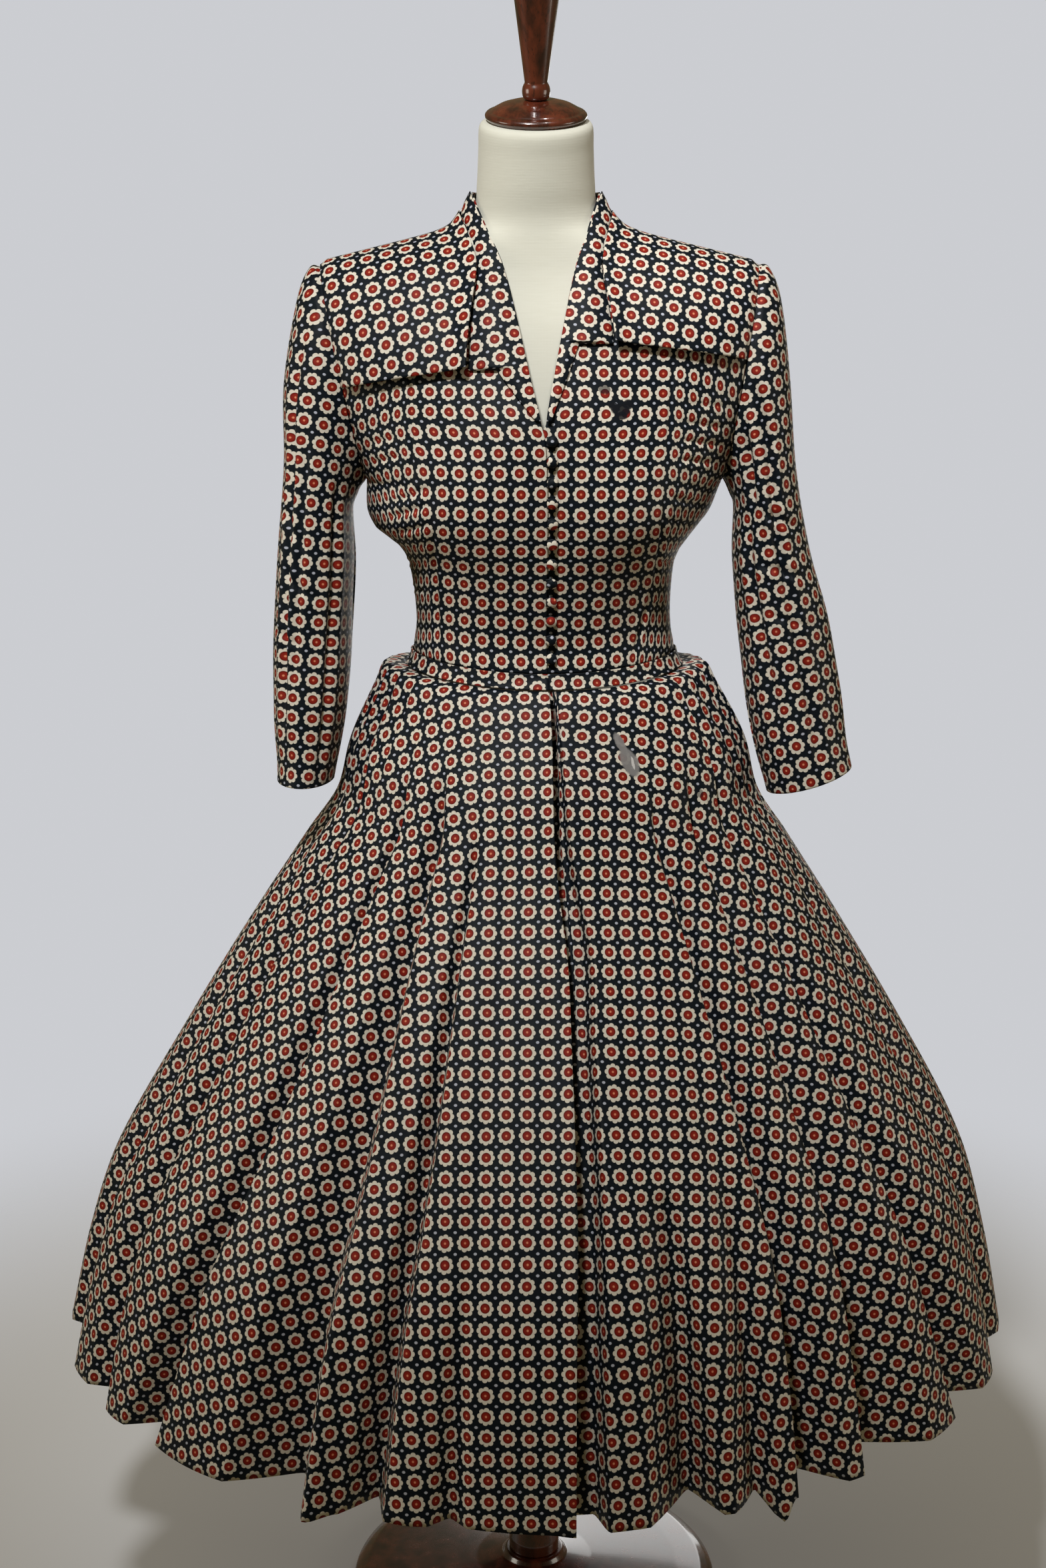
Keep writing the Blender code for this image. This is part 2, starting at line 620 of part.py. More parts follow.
def fold_lines(v):
    """Angle, two half widths and depth of every fold at a level, in order round the skirt."""
    lines = []
    for top, middle, hem, start, depth, before, after in FOLDS:
        grown = max(0.0, (v - start) / (1.0 - start)) ** 0.8
        share = FOLD_START_WIDTH + (1.0 - FOLD_START_WIDTH) * v
        angle = top * (1 - v) * (1 - 2 * v) + middle * 4 * v * (1 - v) + hem * v * (2 * v - 1)
        lines.append((angle, before * share, after * share, depth * grown))
    return lines


def folded(angle, v, under=False):
    """Skirt with its folds; under is the gore whose edge passes beneath the opening."""
    centre = bell(angle, v)
    depth = 0.0
    lines = fold_lines(v)
    wrapped = (angle + 180.0) % 360.0 - 180.0
    bounds = [lines[-1][0] - 360.0] + [line[0] for line in lines] + [lines[0][0] + 360.0]
    for line_angle, width, other, line_depth in lines + [(lines[0][0] + 360.0, *lines[0][1:]),
                                                         (lines[-1][0] - 360.0, *lines[-1][1:])]:
        off = (line_angle - wrapped) / width if wrapped < line_angle else (wrapped - line_angle) / other
        if off < 1.0:
            depth += line_depth * math.cos(off * math.pi / 2) ** 2
    for before, after in zip(bounds, bounds[1:]):
        if before <= wrapped < after:
            share = (wrapped - before) / (after - before)
            depth -= LOBE_RISE * v * math.sin(math.pi * share) * min(1.0, (after - before) / 12.0)
    if under:
        past = (wrapped - opening_edge(v)) / along(OPENING_EDGE, v)[1]
        sunken = 1.0 - ramp(past, OPENING_WALL[0], OPENING_WALL[-1])
        depth += (UNDERLAP_DEPTH + (OPENING_DEPTH - UNDERLAP_DEPTH) * ramp(v, 0.05, 0.75)) * sunken
    for lobe, start, rise, drop, width in LOBES:
        near = math.cos(math.pi / 2 * min(1.0, abs(wrapped - lobe) / width)) ** 2 * ramp(v, start, 1.0)
        depth -= rise * near
        centre.z -= drop * near
    outward = Vector((math.sin(math.radians(angle)), -math.cos(math.radians(angle)), 0.0))
    return sway(centre - outward * depth)


def gore_columns(start, end, under):
    """Angles of a gore's grid lines at each level: three for a fold, one or two between folds."""
    def angles(v):
        marks = [start(v)]
        if under:
            edge, width = along(OPENING_EDGE, v)
            marks += [edge + share * width for share in OPENING_WALL]
        numbers = [k for k, line in enumerate(fold_lines(0.5)) if start(0.5) < line[0] < end(0.5)]
        for angle, before, after, _ in [fold_lines(v)[k] for k in numbers]:
            marks += [angle - before, angle, angle + after]
        marks.append(end(v))
        return marks

    def spread(u, v):
        marks = angles(v)
        place = min(max(u, 0.0), 1.0) * (len(marks) - 1)
        index = min(int(place), len(marks) - 2)
        return marks[index] + (marks[index + 1] - marks[index]) * (place - index)

    count = len(angles(0.5)) - 1
    positions = []
    for k in range(count):
        wide = angles(1.0)[k + 1] - angles(1.0)[k] > 4.5
        positions += [(k + step / 2) / count for step in range(2)] if wide else [k / count]
    return spread, positions + [1.0]


GORES = (
    # name, start angle, end angle at a level, passes beneath the opening's edge
    ("skirt_back_right", lambda v: -180.0, lambda v: -88.0, False),
    ("skirt_front_right", lambda v: -88.0, opening_edge, False),
    ("skirt_front_left", lambda v: opening_edge(v) - OPENING_LAP, lambda v: 88.0, True),
    ("skirt_back_left", lambda v: 88.0, lambda v: 180.0, False),
)


def build_skirt():
    rows = [0.0, 0.03, 0.08, 0.16, 0.28, 0.42, 0.58, 0.75, 0.89, 1.0]
    for name, start, end, under in GORES:
        spread, positions = gore_columns(start, end, under)
        cloth(name, lambda u, v, s=spread, k=under: folded(s(u, v), v, k), positions, rows, -1,
              trim=(GAP, GAP, 0.0, 0.0))


def build_waistband():
    """Band between bodice and skirt, its ends meeting at the front closure."""
    def surface(u, v):
        turn = BAND_CLOSURE + 360.0 * u
        angle = (turn + 180.0) % 360.0 - 180.0
        share = abs(angle) / 90.0
        side = 1 if angle >= 0 else -1
        above = bodice(share <= 1.0, share if share <= 1.0 else 2.0 - share, 0.0)
        above = Vector((above.x * side, above.y, above.z - SEAM_ALLOWANCE))
        below = bell(angle, 0.0)
        below.z = above.z - BAND_HEIGHT
        point = above.lerp(below, v)
        flat = Vector((point.x, point.y, 0.0)).normalized()
        return sway(point + flat * BAND_PROUD)

    cloth("waistband", surface, even(0.0, 1.0, 32), [0.0, 1.0], 1, trim=(GAP, GAP, 0.0, 0.0))


# ---- buttons -------------------------------------------------------------------------------------------
def button_seat(height):
    """Point and outward normal of the button stand, which is flat between the panel's grid lines."""
    surface, rows = front_panel(1), front_rows("left")
    share = (UNDERLAP + BUTTON_X) / (UNDERLAP + STAND_EDGE)
    for low, high in zip(rows, rows[1:]):
        below = surface(0, low).lerp(surface(1, low), share)
        above = surface(0, high).lerp(surface(1, high), share)
        if above.z >= height:
            break
    spot = below.lerp(above, (height - below.z) / (above.z - below.z))
    return spot, Vector((1.0, 0.0, 0.0)).cross(above - below).normalized()


def build_buttons():
    """Covered domes on short shanks down the front closure, each square to the cloth."""
    foot = GAP - UNDERLAP_DEPTH - BUTTON_LIFT
    for number in range(BUTTON_COUNT):
        spot, out = button_seat(BUTTON_TOP - number * BUTTON_PITCH)
        button = turned("button_%02d" % (number + 1), (
            (0.0, BUTTON_DOME), (0.60 * BUTTON_RADIUS, 0.84 * BUTTON_DOME),
            (0.92 * BUTTON_RADIUS, 0.46 * BUTTON_DOME), (BUTTON_RADIUS, 0.14 * BUTTON_DOME),
            (0.86 * BUTTON_RADIUS, 0.0), (BUTTON_SHANK, 0.0), (BUTTON_SHANK, foot), (0.0, foot)),
            10, "printed_sateen")
        button.rotation_euler = out.to_track_quat("Z", "Y").to_euler()
        button.location = spot + out * (GAP - foot)


# ---- dress form -----------------------------------------------------------------------------------------
def build_form_body():
    around = 24
    bm = bmesh.new()
    rings = []
    for z, half, front, back, middle, tilt in FORM_ROWS:
        ring = []
        lean = math.tan(math.radians(tilt))
        for k in range(around):
            turn = 2 * math.pi * k / around
            reach = front if math.cos(turn) > 0 else back
            x, y = half * math.sin(turn), -reach * math.cos(turn)
            upright = Vector((x, y + middle, z + y * lean))
            ring.append(bm.verts.new(upright.lerp(sway(upright), ramp(z, FORM_ROWS[0][0], 1.0))))
        rings.append(ring)
    for lower, upper in zip(rings, rings[1:]):
        for k in range(around):
            after = (k + 1) % around
            bm.faces.new((lower[k], lower[after], upper[after], upper[k]))
    bm.faces.new(list(reversed(rings[0])))
    bm.faces.new(rings[-1])
    bmesh.ops.recalc_face_normals(bm, faces=list(bm.faces))
    mesh = bpy.data.meshes.new("form_body")
    bm.to_mesh(mesh)
    bm.free()
    mesh.shade_smooth()
    link(mesh, "form_body", "form_cloth")


def turned(name, profile, steps, slot="dark_wood"):
    """A turned piece from its profile of (radius, height) pairs, top to bottom."""
    mesh = bpy.data.meshes.new(name)
    points = [(radius, 0.0, height) for radius, height in profile]
    mesh.from_pydata(points, [(k, k + 1) for k in range(len(points) - 1)], [])
    item = link(mesh, name, slot)
    screw = item.modifiers.new("turned", "SCREW")
    screw.axis = "Z"
    screw.angle = 2 * math.pi
    screw.steps = steps
    screw.render_steps = steps
    screw.use_merge_vertices = True
    screw.merge_threshold = 1e-5
    screw.use_smooth_shade = True
    return item


def build_stand():
    turned("base", (
        (0.0, BASE_HEIGHT), (0.030, BASE_HEIGHT), (0.034, 0.036), (0.060, 0.031), (0.150, 0.023),
        (0.176, 0.020), (0.184, 0.016), (BASE_RADIUS, 0.012), (BASE_RADIUS, 0.003),
        (0.187, 0.0), (0.0, 0.0)), 40)
    foot, top = BASE_HEIGHT + GAP, FORM_ROWS[0][0] - GAP
    turned("pole", (
        (0.0, top), (0.026, top), (0.026, top - 0.018), (0.020, top - 0.026), (POLE_RADIUS, top - 0.040),
        (POLE_RADIUS, foot + 0.040), (0.021, foot + 0.026), (0.026, foot + 0.012),
        (0.026, foot), (0.0, foot)), 24)
    cap = turned("neck_cap", (
        (0.0, 0.0180), (0.0110, 0.0178), (0.0220, 0.0164), (0.0320, 0.0136), (0.0390, 0.0098),
        (0.0405, 0.0082), (0.0440, 0.0076), (0.0460, 0.0052), (0.0458, 0.0030), (0.0435, 0.0),
        (0.0, 0.0)), 32)
    finial = turned("finial", (
        (0.0, 0.1150), (0.0175, 0.1150), (0.0205, 0.1125), (0.0200, 0.1060), (0.0103, 0.0330),
        (0.0106, 0.0320), (0.0122, 0.0290), (0.0127, 0.0250), (0.0122, 0.0210), (0.0104, 0.0180 + GAP),
        (0.0, 0.0180 + GAP)), 24)
    neck = FORM_ROWS[-1]
    for item in (cap, finial):
        item.rotation_euler = (NECK_TILT, 0.0, 0.0)
        item.location = (0.0, neck[4], neck[0] + GAP / math.cos(NECK_TILT))


clear_scene()
COLLECTION = bpy.data.collections.new("shirtwaist_dress_on_form")
bpy.context.scene.collection.children.link(COLLECTION)
build_bodice()
build_yokes()
build_lapels()
build_collar()
build_sleeves()
build_skirt()
build_waistband()
build_buttons()
build_form_body()
build_stand()
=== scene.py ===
"""Looks of the shirtwaist dress and its form: fine cloth shells, a flower print, wood and linen.

The cloth surfaces are the model's own functions of two numbers, laid at a finer pitch and creased.
They leave the solids on purpose in a few places: deeper folds (FOLD_SCALE), the gap beside the
skirt's opening (SLOT), the bodice's sides (SIDE_SPREAD), higher cuffs (the sleeves' last rows) and a
fuller base of the neck (FORM_ROWS).  Every shell carries a flat map, its lengths counted in repeats
of the print.
"""
import math

import bpy
import numpy as np
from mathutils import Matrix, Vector


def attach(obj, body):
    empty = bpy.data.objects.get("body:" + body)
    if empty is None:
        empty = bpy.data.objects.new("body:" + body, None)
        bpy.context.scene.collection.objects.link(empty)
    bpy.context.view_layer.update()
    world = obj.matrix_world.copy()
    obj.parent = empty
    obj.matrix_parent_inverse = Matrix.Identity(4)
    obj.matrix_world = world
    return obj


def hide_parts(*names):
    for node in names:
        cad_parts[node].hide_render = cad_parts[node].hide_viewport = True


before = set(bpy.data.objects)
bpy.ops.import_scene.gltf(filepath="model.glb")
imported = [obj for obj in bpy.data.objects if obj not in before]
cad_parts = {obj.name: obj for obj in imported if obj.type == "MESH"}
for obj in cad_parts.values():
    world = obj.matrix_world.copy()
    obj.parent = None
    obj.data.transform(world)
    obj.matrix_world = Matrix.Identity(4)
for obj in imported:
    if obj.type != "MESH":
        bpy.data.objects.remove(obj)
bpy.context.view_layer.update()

# ---- sizes shared with the model --------------------
WALL = 0.0015
GAP = 0.0003
LAYER = WALL + 0.0009
BASE_RADIUS = 0.190
BASE_HEIGHT = 0.042
POLE_RADIUS = 0.0185
NECK_TILT = math.radians(15)
NECK_TOP = 1.4836
BAND_HEIGHT = 0.0140
BAND_PROUD = 0.0008
BAND_CLOSURE = 1.2
BUTTON_COUNT = 12
BUTTON_TOP = 1.2065
BUTTON_PITCH = 0.0180
BUTTON_RADIUS = 0.0050
BUTTON_DOME = 0.0042
BUTTON_LIFT = 0.0010
BUTTON_RIM = 0.0006
SHANK_RADIUS = 0.0014
BUTTON_X = 0.0062
CLOSURE_EDGE = 0.0020
UNDERLAP = 0.0080
UNDERLAP_DEPTH = 0.0026
STAND_EDGE = 0.0100
STAND_STEP = 0.0025
ARMPIT_LEVEL = 0.45
ARMHOLE_LOW = 1.164
ARMHOLE_HIGH = 1.358
ARMHOLE_X = 0.166
SHOULDER_X = 0.200
ARMHOLE_FRONT = 0.055
ARMHOLE_BACK = 0.050
NECK_POINT_X = 0.0787
NECK_TIP_X = 0.0580
SHOULDER_SLOPE = 0.24
COLLAR_STAND = 0.0301
COLLAR_FILLET = 0.0100
BACK_NECK_LEVEL = 0.86
NECK_LEVEL = 0.580
PARTED = 0.585
SIDES = ((-1, "right"), (1, "left"))
YOKE_EDGE = {"right": 0.705, "left": 0.750}
YOKE_LIFT = 0.0055
YOKE_ROLL = 0.0012
LAPEL_TAIL = {"right": 0.150, "left": 0.090}
LAPEL_TIP = 0.020
LAPEL_LOW = 0.590
LAPEL_ROLL = 0.0040
BUST_X, BUST_Z = 0.083, 1.138
BUST_SPREAD = 0.040
BUST_RISE = 0.011

FRONT_CENTRE = (
    # level, x, y, z
    (0.00, 0.0000, -0.0985, 0.9955),
    (0.08, 0.0000, -0.0950, 1.0200),
    (0.20, 0.0000, -0.1035, 1.0650),
    (0.36, 0.0000, -0.1175, 1.1250),
    (0.45, 0.0000, -0.1200, 1.1650),
    (0.58, 0.0020, -0.1165, 1.2200),
    (0.68, 0.0105, -0.1035, 1.2620),
    (0.78, 0.0205, -0.0845, 1.3090),
    (0.88, 0.0325, -0.0600, 1.3580),
    (0.94, 0.0460, -0.0380, 1.3910),
    (0.98, 0.0566, -0.0135, 1.4175),
    (1.00, NECK_TIP_X, 0.0000, 1.4222),
)
BACK_CENTRE = (
    # level, x, y, z
    (0.00, 0.0000, 0.0880, 1.0035),
    (0.08, 0.0000, 0.0855, 1.0300),
    (0.20, 0.0000, 0.0920, 1.0720),
    (0.36, 0.0000, 0.1030, 1.1300),
    (0.45, 0.0000, 0.1090, 1.1720),
    (0.60, 0.0000, 0.1130, 1.2350),
    (0.75, 0.0000, 0.1050, 1.3100),
    (0.86, 0.0000, 0.0740, 1.3800),
    (0.90, 0.0310, 0.0690, 1.3840),
    (0.95, 0.0640, 0.0440, 1.3880),
    (1.00, NECK_POINT_X, 0.0000, 1.3909),
)
SIDE_SEAM = (
    # level, x, z
    (0.00, 0.1245, 1.0035),
    (0.08, 0.1205, 1.0300),
    (0.19, 0.1230, 1.0680),
    (0.26, 0.1290, 1.0930),
    (0.31, 0.1415, 1.1100),
    (0.38, 0.1590, 1.1340),
    (0.45, 0.1660, 1.1640),
)
SIDE_SPREAD = {
    # height, how much further out the cloth of the wearer's left (1) or right (-1) side lies
    1: ((1.030, 0.0), (1.070, -0.003), (1.100, -0.006), (1.125, -0.007), (1.150, -0.003), (1.164, 0.0)),
    -1: ((1.030, 0.0), (1.080, 0.001), (1.104, 0.001), (1.119, 0.009), (1.136, 0.006), (1.164, 0.0)),
}
LAPEL_FOLD = (
    # level, share of the panel's width
    (0.58, 0.340),
    (0.69, 0.285),
    (0.80, 0.205),
    (0.90, 0.105),
    (0.96, 0.065),
    (1.00, 0.050),
)
SLEEVE_RIGHT = (
    # station, under x, under z, over x, over z, centre y, half depth
    (0.00, 0.1660, 1.1640, 0.2000, 1.3580, 0.000, 0.0550),
    (0.05, 0.1680, 1.1615, 0.2100, 1.3565, 0.000, 0.0565),
    (0.12, 0.1705, 1.1580, 0.2225, 1.3300, 0.000, 0.0590),
    (0.22, 0.1745, 1.1500, 0.2370, 1.2550, -0.002, 0.0615),
    (0.32, 0.1790, 1.1350, 0.2415, 1.1850, -0.004, 0.0635),
    (0.45, 0.1780, 1.0900, 0.2490, 1.1050, -0.009, 0.0630),
    (0.60, 0.1805, 1.0270, 0.2545, 1.0300, -0.016, 0.0600),
    (0.78, 0.1865, 0.9560, 0.2560, 0.9500, -0.027, 0.0560),
    (0.90, 0.1935, 0.9120, 0.2525, 0.9050, -0.032, 0.0530),
    (1.00, 0.1985, 0.8850, 0.2520, 0.8850, -0.038, 0.0500),
)
SLEEVE_LEFT = (
    # station, under x, under z, over x, over z, centre y, half depth
    (0.00, 0.1660, 1.1640, 0.2000, 1.3580, 0.000, 0.0550),
    (0.05, 0.1680, 1.1615, 0.2100, 1.3565, 0.000, 0.0565),
    (0.12, 0.1705, 1.1580, 0.2210, 1.3300, 0.000, 0.0590),
    (0.22, 0.1740, 1.1500, 0.2300, 1.2550, 0.000, 0.0610),
    (0.32, 0.1775, 1.1350, 0.2350, 1.1750, -0.002, 0.0615),
    (0.45, 0.1775, 1.0880, 0.2480, 1.1050, -0.006, 0.0590),
    (0.60, 0.1815, 1.0330, 0.2660, 1.0380, -0.015, 0.0540),
    (0.78, 0.1900, 0.9680, 0.2800, 0.9700, -0.026, 0.0490),
    (0.90, 0.2005, 0.9120, 0.2860, 0.9230, -0.037, 0.0460),
    (1.00, 0.2110, 0.8740, 0.2900, 0.8990, -0.046, 0.0430),
)
SKIRT_ROWS = (
    # level, side x, side z, front y, front z, back y, back z
    (0.00, 0.1300, 0.9882, 0.1040, 0.9802, 0.0935, 0.9882),
    (0.03, 0.1500, 0.9905, 0.1160, 0.9660, 0.1110, 0.9810),
    (0.06, 0.1600, 0.9720, 0.1260, 0.9480, 0.1260, 0.9650),
    (0.14, 0.1870, 0.9170, 0.1570, 0.8940, 0.1600, 0.9130),
    (0.21, 0.2010, 0.8660, 0.1765, 0.8480, 0.1810, 0.8650),
    (0.27, 0.2295, 0.8240, 0.1970, 0.8050, 0.2030, 0.8200),
    (0.39, 0.2790, 0.7470, 0.2430, 0.7300, 0.2500, 0.7430),
    (0.56, 0.3455, 0.6360, 0.3065, 0.6210, 0.3110, 0.6320),
    (0.75, 0.4135, 0.5100, 0.3670, 0.4980, 0.3720, 0.5060),
    (0.87, 0.4415, 0.4200, 0.3920, 0.4110, 0.3990, 0.4170),
    (1.00, 0.4615, 0.3250, 0.4100, 0.3200, 0.4180, 0.3230),
)
FOLDS = (
    # angle at the waist, half-way down and at the hem, level where it starts, depth at the hem,
    # half widths on its two sides (degrees; 0 is centre front, 90 the wearer's left side)
    (-172, -172, -172, 0.30, 0.034, 4.0, 4.0),
    (-157, -157, -158, 0.10, 0.038, 5.5, 3.6),
    (-142, -142, -143, 0.45, 0.026, 3.6, 3.6),
    (-123, -124, -125, 0.20, 0.036, 3.6, 5.5),
    (-98, -99, -100, 0.25, 0.028, 5.0, 4.0),
    (-75, -78, -78.5, 0.30, 0.032, 5.5, 7.5),
    (-62, -63, -62, 0.14, 0.021, 3.6, 3.4),
    (-45, -44, -51, 0.14, 0.026, 3.0, 3.4),
    (-33, -28.5, -29, 0.12, 0.034, 7.0, 4.6),
    (-21, -17.5, -18.5, 0.20, 0.026, 2.8, 2.2),
    (-9.5, -9.5, -9.5, 0.72, 0.010, 2.0, 2.2),
    (15, 16, 18.4, 0.62, 0.036, 6.5, 1.8),
    (24, 24.5, 25.8, 0.62, 0.020, 4.5, 1.4),
    (29, 31, 32.5, 0.16, 0.030, 3.4, 3.4),
    (44, 42, 42.5, 0.14, 0.032, 4.4, 7.0),
    (58, 52.5, 60, 0.12, 0.028, 4.0, 4.5),
    (72, 74, 74.5, 0.30, 0.018, 5.0, 6.0),
    (98, 99, 100, 0.30, 0.030, 3.6, 5.0),
    (118, 118, 119, 0.20, 0.036, 5.0, 3.8),
    (141, 141, 141, 0.15, 0.038, 3.6, 5.5),
    (156, 156, 155, 0.35, 0.028, 3.6, 3.6),
    (169, 169, 168, 0.55, 0.024, 3.4, 3.4),
)
LOBES = (
    # hem lobes that stand out or hang low: angle, level where it starts, rise outward, drop, half width
    (-24.4, 0.55, 0.016, 0.003, 3.2),
    (27.2, 0.80, 0.004, 0.018, 1.7),
)
OPENING_EDGE = (
    # level, angle of the opening's edge, width of the sunken strip beside it (degrees)
    (0.00, 1.3, 1.6),
    (0.19, 1.3, 3.4),
    (0.33, 3.6, 4.2),
    (0.45, 3.8, 3.2),
    (1.00, 4.0, 2.8),
)
OPENING_LAP = 4.0
OPENING_WALL = (0.80, 1.05, 1.30)
OPENING_DEPTH = 0.030
FOLD_START_WIDTH = 0.35
FOLD_GROWTH = 0.60
FOLD_SCALE = 1.30        # how much deeper the folds of the thin cloth are than those of the solids
SLOT = (2.00, 2.70)      # angles past the opening's edge between which the gap beside it closes
SLOT_DEPTH = 0.024
OPENING_FULL = 0.75      # level below which the strip beside the opening is at its full depth
EDGE_RISE = 0.0045       # how far the opening's edge stands off the gore beneath it
EDGE_SPAN = 1.6          # degrees over which that rise fades
GATHER_DEPTH = 0.0032    # gathers below the waistband at the sides
GATHER_ANGLES = (34.0, 60.0)
GATHER_LEVELS = (0.06, 0.34)
GATHER_PITCH = 0.62
FOLD_BLUNT = 0.09        # how far the bottom of a fold is rounded, as a share of its width
LOBE_RISE = 0.009        # how far the cloth stands out between two folds, where they are this far apart
LOBE_SPAN = 12.0
SWAY = (
    # height, x
    (0.32, 0.0000),
    (0.45, 0.0030),
    (0.57, 0.0085),
    (0.75, 0.0105),
    (0.92, 0.0115),
    (1.02, 0.0078),
    (1.16, 0.0082),
    (1.26, 0.0052),
    (1.36, 0.0030),
    (1.41, 0.0000),
)
FORM_ROWS = (
    # height, half width, front, back, centre y, forward tilt in degrees
    (0.800, 0.118, 0.084, 0.090, 0.000, 0),
    (0.806, 0.138, 0.099, 0.106, 0.000, 0),
    (0.860, 0.150, 0.106, 0.116, 0.000, 0),
    (0.930, 0.135, 0.096, 0.104, 0.000, 0),
    (1.020, 0.112, 0.084, 0.077, 0.000, 0),
    (1.070, 0.117, 0.091, 0.082, 0.000, 0),
    (1.130, 0.140, 0.105, 0.092, 0.000, 0),
    (1.190, 0.150, 0.105, 0.100, 0.000, 0),
    (1.250, 0.158, 0.094, 0.101, 0.000, 0),
    (1.300, 0.166, 0.079, 0.093, 0.000, 0),
    (1.335, 0.166, 0.063, 0.078, 0.000, 0),
    (1.352, 0.156, 0.0570, 0.062, 0.000, 0),
    (1.364, 0.136, 0.0545, 0.052, 0.000, 0),
    (1.374, 0.109, 0.0530, 0.050, 0.000, 0),
    (1.3825, 0.0845, 0.0520, 0.050, 0.000, 0),
    (1.392, 0.0640, 0.0512, 0.0500, 0.000, 1),
    (1.405, 0.0562, 0.0506, 0.0500, -0.001, 3),
    (1.430, 0.0535, 0.0520, 0.0500, -0.004, 7),
    (1.460, 0.0520, 0.0510, 0.0500, -0.009, 12),
    (1.4765, 0.0515, 0.0505, 0.0500, -0.012, 15),
    (1.4815, 0.0495, 0.0485, 0.0480, -0.013, 15),
    (NECK_TOP, 0.0455, 0.0445, 0.0440, -0.0135, 15),
)

# ---- sizes of the looks --------------------
THIN = 0.0011            # thickness of a shell
PITCH = 0.0180           # the print's repeat
SLANT_START = 0.250      # length from the skirt's cone point to the waist, laid flat
SEAM_DEPTH = 0.0007      # hollow beside a seam, and how far it reaches
SEAM_REACH = 0.004
LAPEL_STEP = 0.008       # levels over which a lapel widens at the yoke's edge
COLUMN_ANGLE = 0.42      # degrees of the skirt from one column of a gore's grid to the next
RELAX = ((12, 500), (6, 250), (3, 120), (1, 60))   # coarseness and rounds of laying a surface out flat
RELAX_GAIN = 1.6
EASE_STEPS = 5           # straight steps in each rounded corner of a turned profile
LOOP_REACH = 0.0042      # radius of a button loop, half its spread at the edge, its own radius and sides
LOOP_SPREAD = 0.0031
LOOP_TURN = math.radians(118)
CORD_RADIUS = 0.00075
CORD_SIDES = 8
GRIDS = {
    # columns and rows of a piece's grid
    "back": (80, 108),
    "yoke": (80, 72),
    "collar": (120, 24),
    "sleeve": (110, 170),
    "waistband": (320, 16),
}
CAMERA_DIP = 13.5
SURROUNDINGS = (0.600, 0.610, 0.640)
DOME_RADIUS = 12.0
FLOOR_RADIUS = 3.0
FLOOR_SIDES = 128
FLOOR_FADE = (0.65, 1.55)
UPRIGHT = ((0.0, 0.0, 0.0), (1.0, 0.0, 0.0), (0.0, 1.0, 0.0), (0.0, 0.0, 1.0))


# ---- helpers on arrays --------------------
def ramp(value, low, high):
    """Smooth step from 0 at low to 1 at high."""
    share = np.clip((np.asarray(value, float) - low) / (high - low), 0.0, 1.0)
    return share * share * (3.0 - 2.0 * share)


def along(rows, at):
    """Values of a table at positions, on smooth curves through its rows."""
    rows = np.array(rows, float)
    at = np.asarray(at, float)
    last = len(rows) - 1
    lower = np.clip(np.searchsorted(rows[:, 0], at, side="left") - 1, 0, last - 1)
    before, left = rows[np.maximum(lower - 1, 0)], rows[lower]
    right, after = rows[lower + 1], rows[np.minimum(lower + 2, last)]
    span = (right[..., 0] - left[..., 0])[..., None]
    t = (at[..., None] - left[..., :1]) / span
    start = (right[..., 1:] - before[..., 1:]) / (right[..., :1] - before[..., :1]) * span
    end = (after[..., 1:] - left[..., 1:]) / (after[..., :1] - left[..., :1]) * span
    found = ((2 * t ** 3 - 3 * t ** 2 + 1) * left[..., 1:] + (t ** 3 - 2 * t ** 2 + t) * start
             + (3 * t ** 2 - 2 * t ** 3) * right[..., 1:] + (t ** 3 - t ** 2) * end)
    return [found[..., k] for k in range(found.shape[-1])]


def both(u, v):
    """Two values as float arrays of one shape."""
    return np.broadcast_arrays(np.asarray(u, float), np.asarray(v, float))


def even(count, low=0.0, high=1.0):
    """Evenly spaced values from low to high, both included."""
    return np.linspace(low, high, count)


def spread(kind, left=0.0, right=1.0, low=0.0):
    """Even columns and rows for the grid of a kind of piece."""
    columns, rows = GRIDS[kind]
    return even(columns, left, right), even(rows, low, 1.0)


def joined(*spans):
    """Values over spans that follow one another, each given as count, low and high."""
    return np.concatenate([even(*span)[:-1] for span in spans] + [[spans[-1][2]]])


def points(x, y, z):
    return np.stack(np.broadcast_arrays(x, y, z), -1).astype(float)


def unit(vectors):
    return vectors / np.maximum(np.linalg.norm(vectors, axis=-1, keepdims=True), 1e-12)


def sway(place, lowest=0.0):
    """Points moved sideways with the lean of the garment at their height."""
    height = np.clip(place[..., 2], max(lowest, SWAY[0][0]), SWAY[-1][0])
    moved = place.copy()
    moved[..., 0] += along(SWAY, height)[0]
    return moved


def facing_out(surface, u, v, outward):
    """Unit normals of a surface function, on the side given by outward (1 or -1)."""
    step = 5e-4
    across = surface(u + step, v) - surface(u - step, v)
    up = surface(u, v + step) - surface(u, v - step)
    return unit(np.cross(across, up)) * outward


def stretched(surface, start, end):
    """A surface whose u runs over 0..1 between start(v) and end(v)."""
    def between(u, v):
        low, high = start(v), end(v)
        return surface(low + (high - low) * u, v)
    return between


def grid(columns, rows):
    """u and v of every grid point, a row at a time."""
    return np.meshgrid(np.asarray(columns, float), np.asarray(rows, float))


def linked(name, data):
    """A new object in the scene."""
    item = bpy.data.objects.new(name, data)
    bpy.context.scene.collection.objects.link(item)
    return item


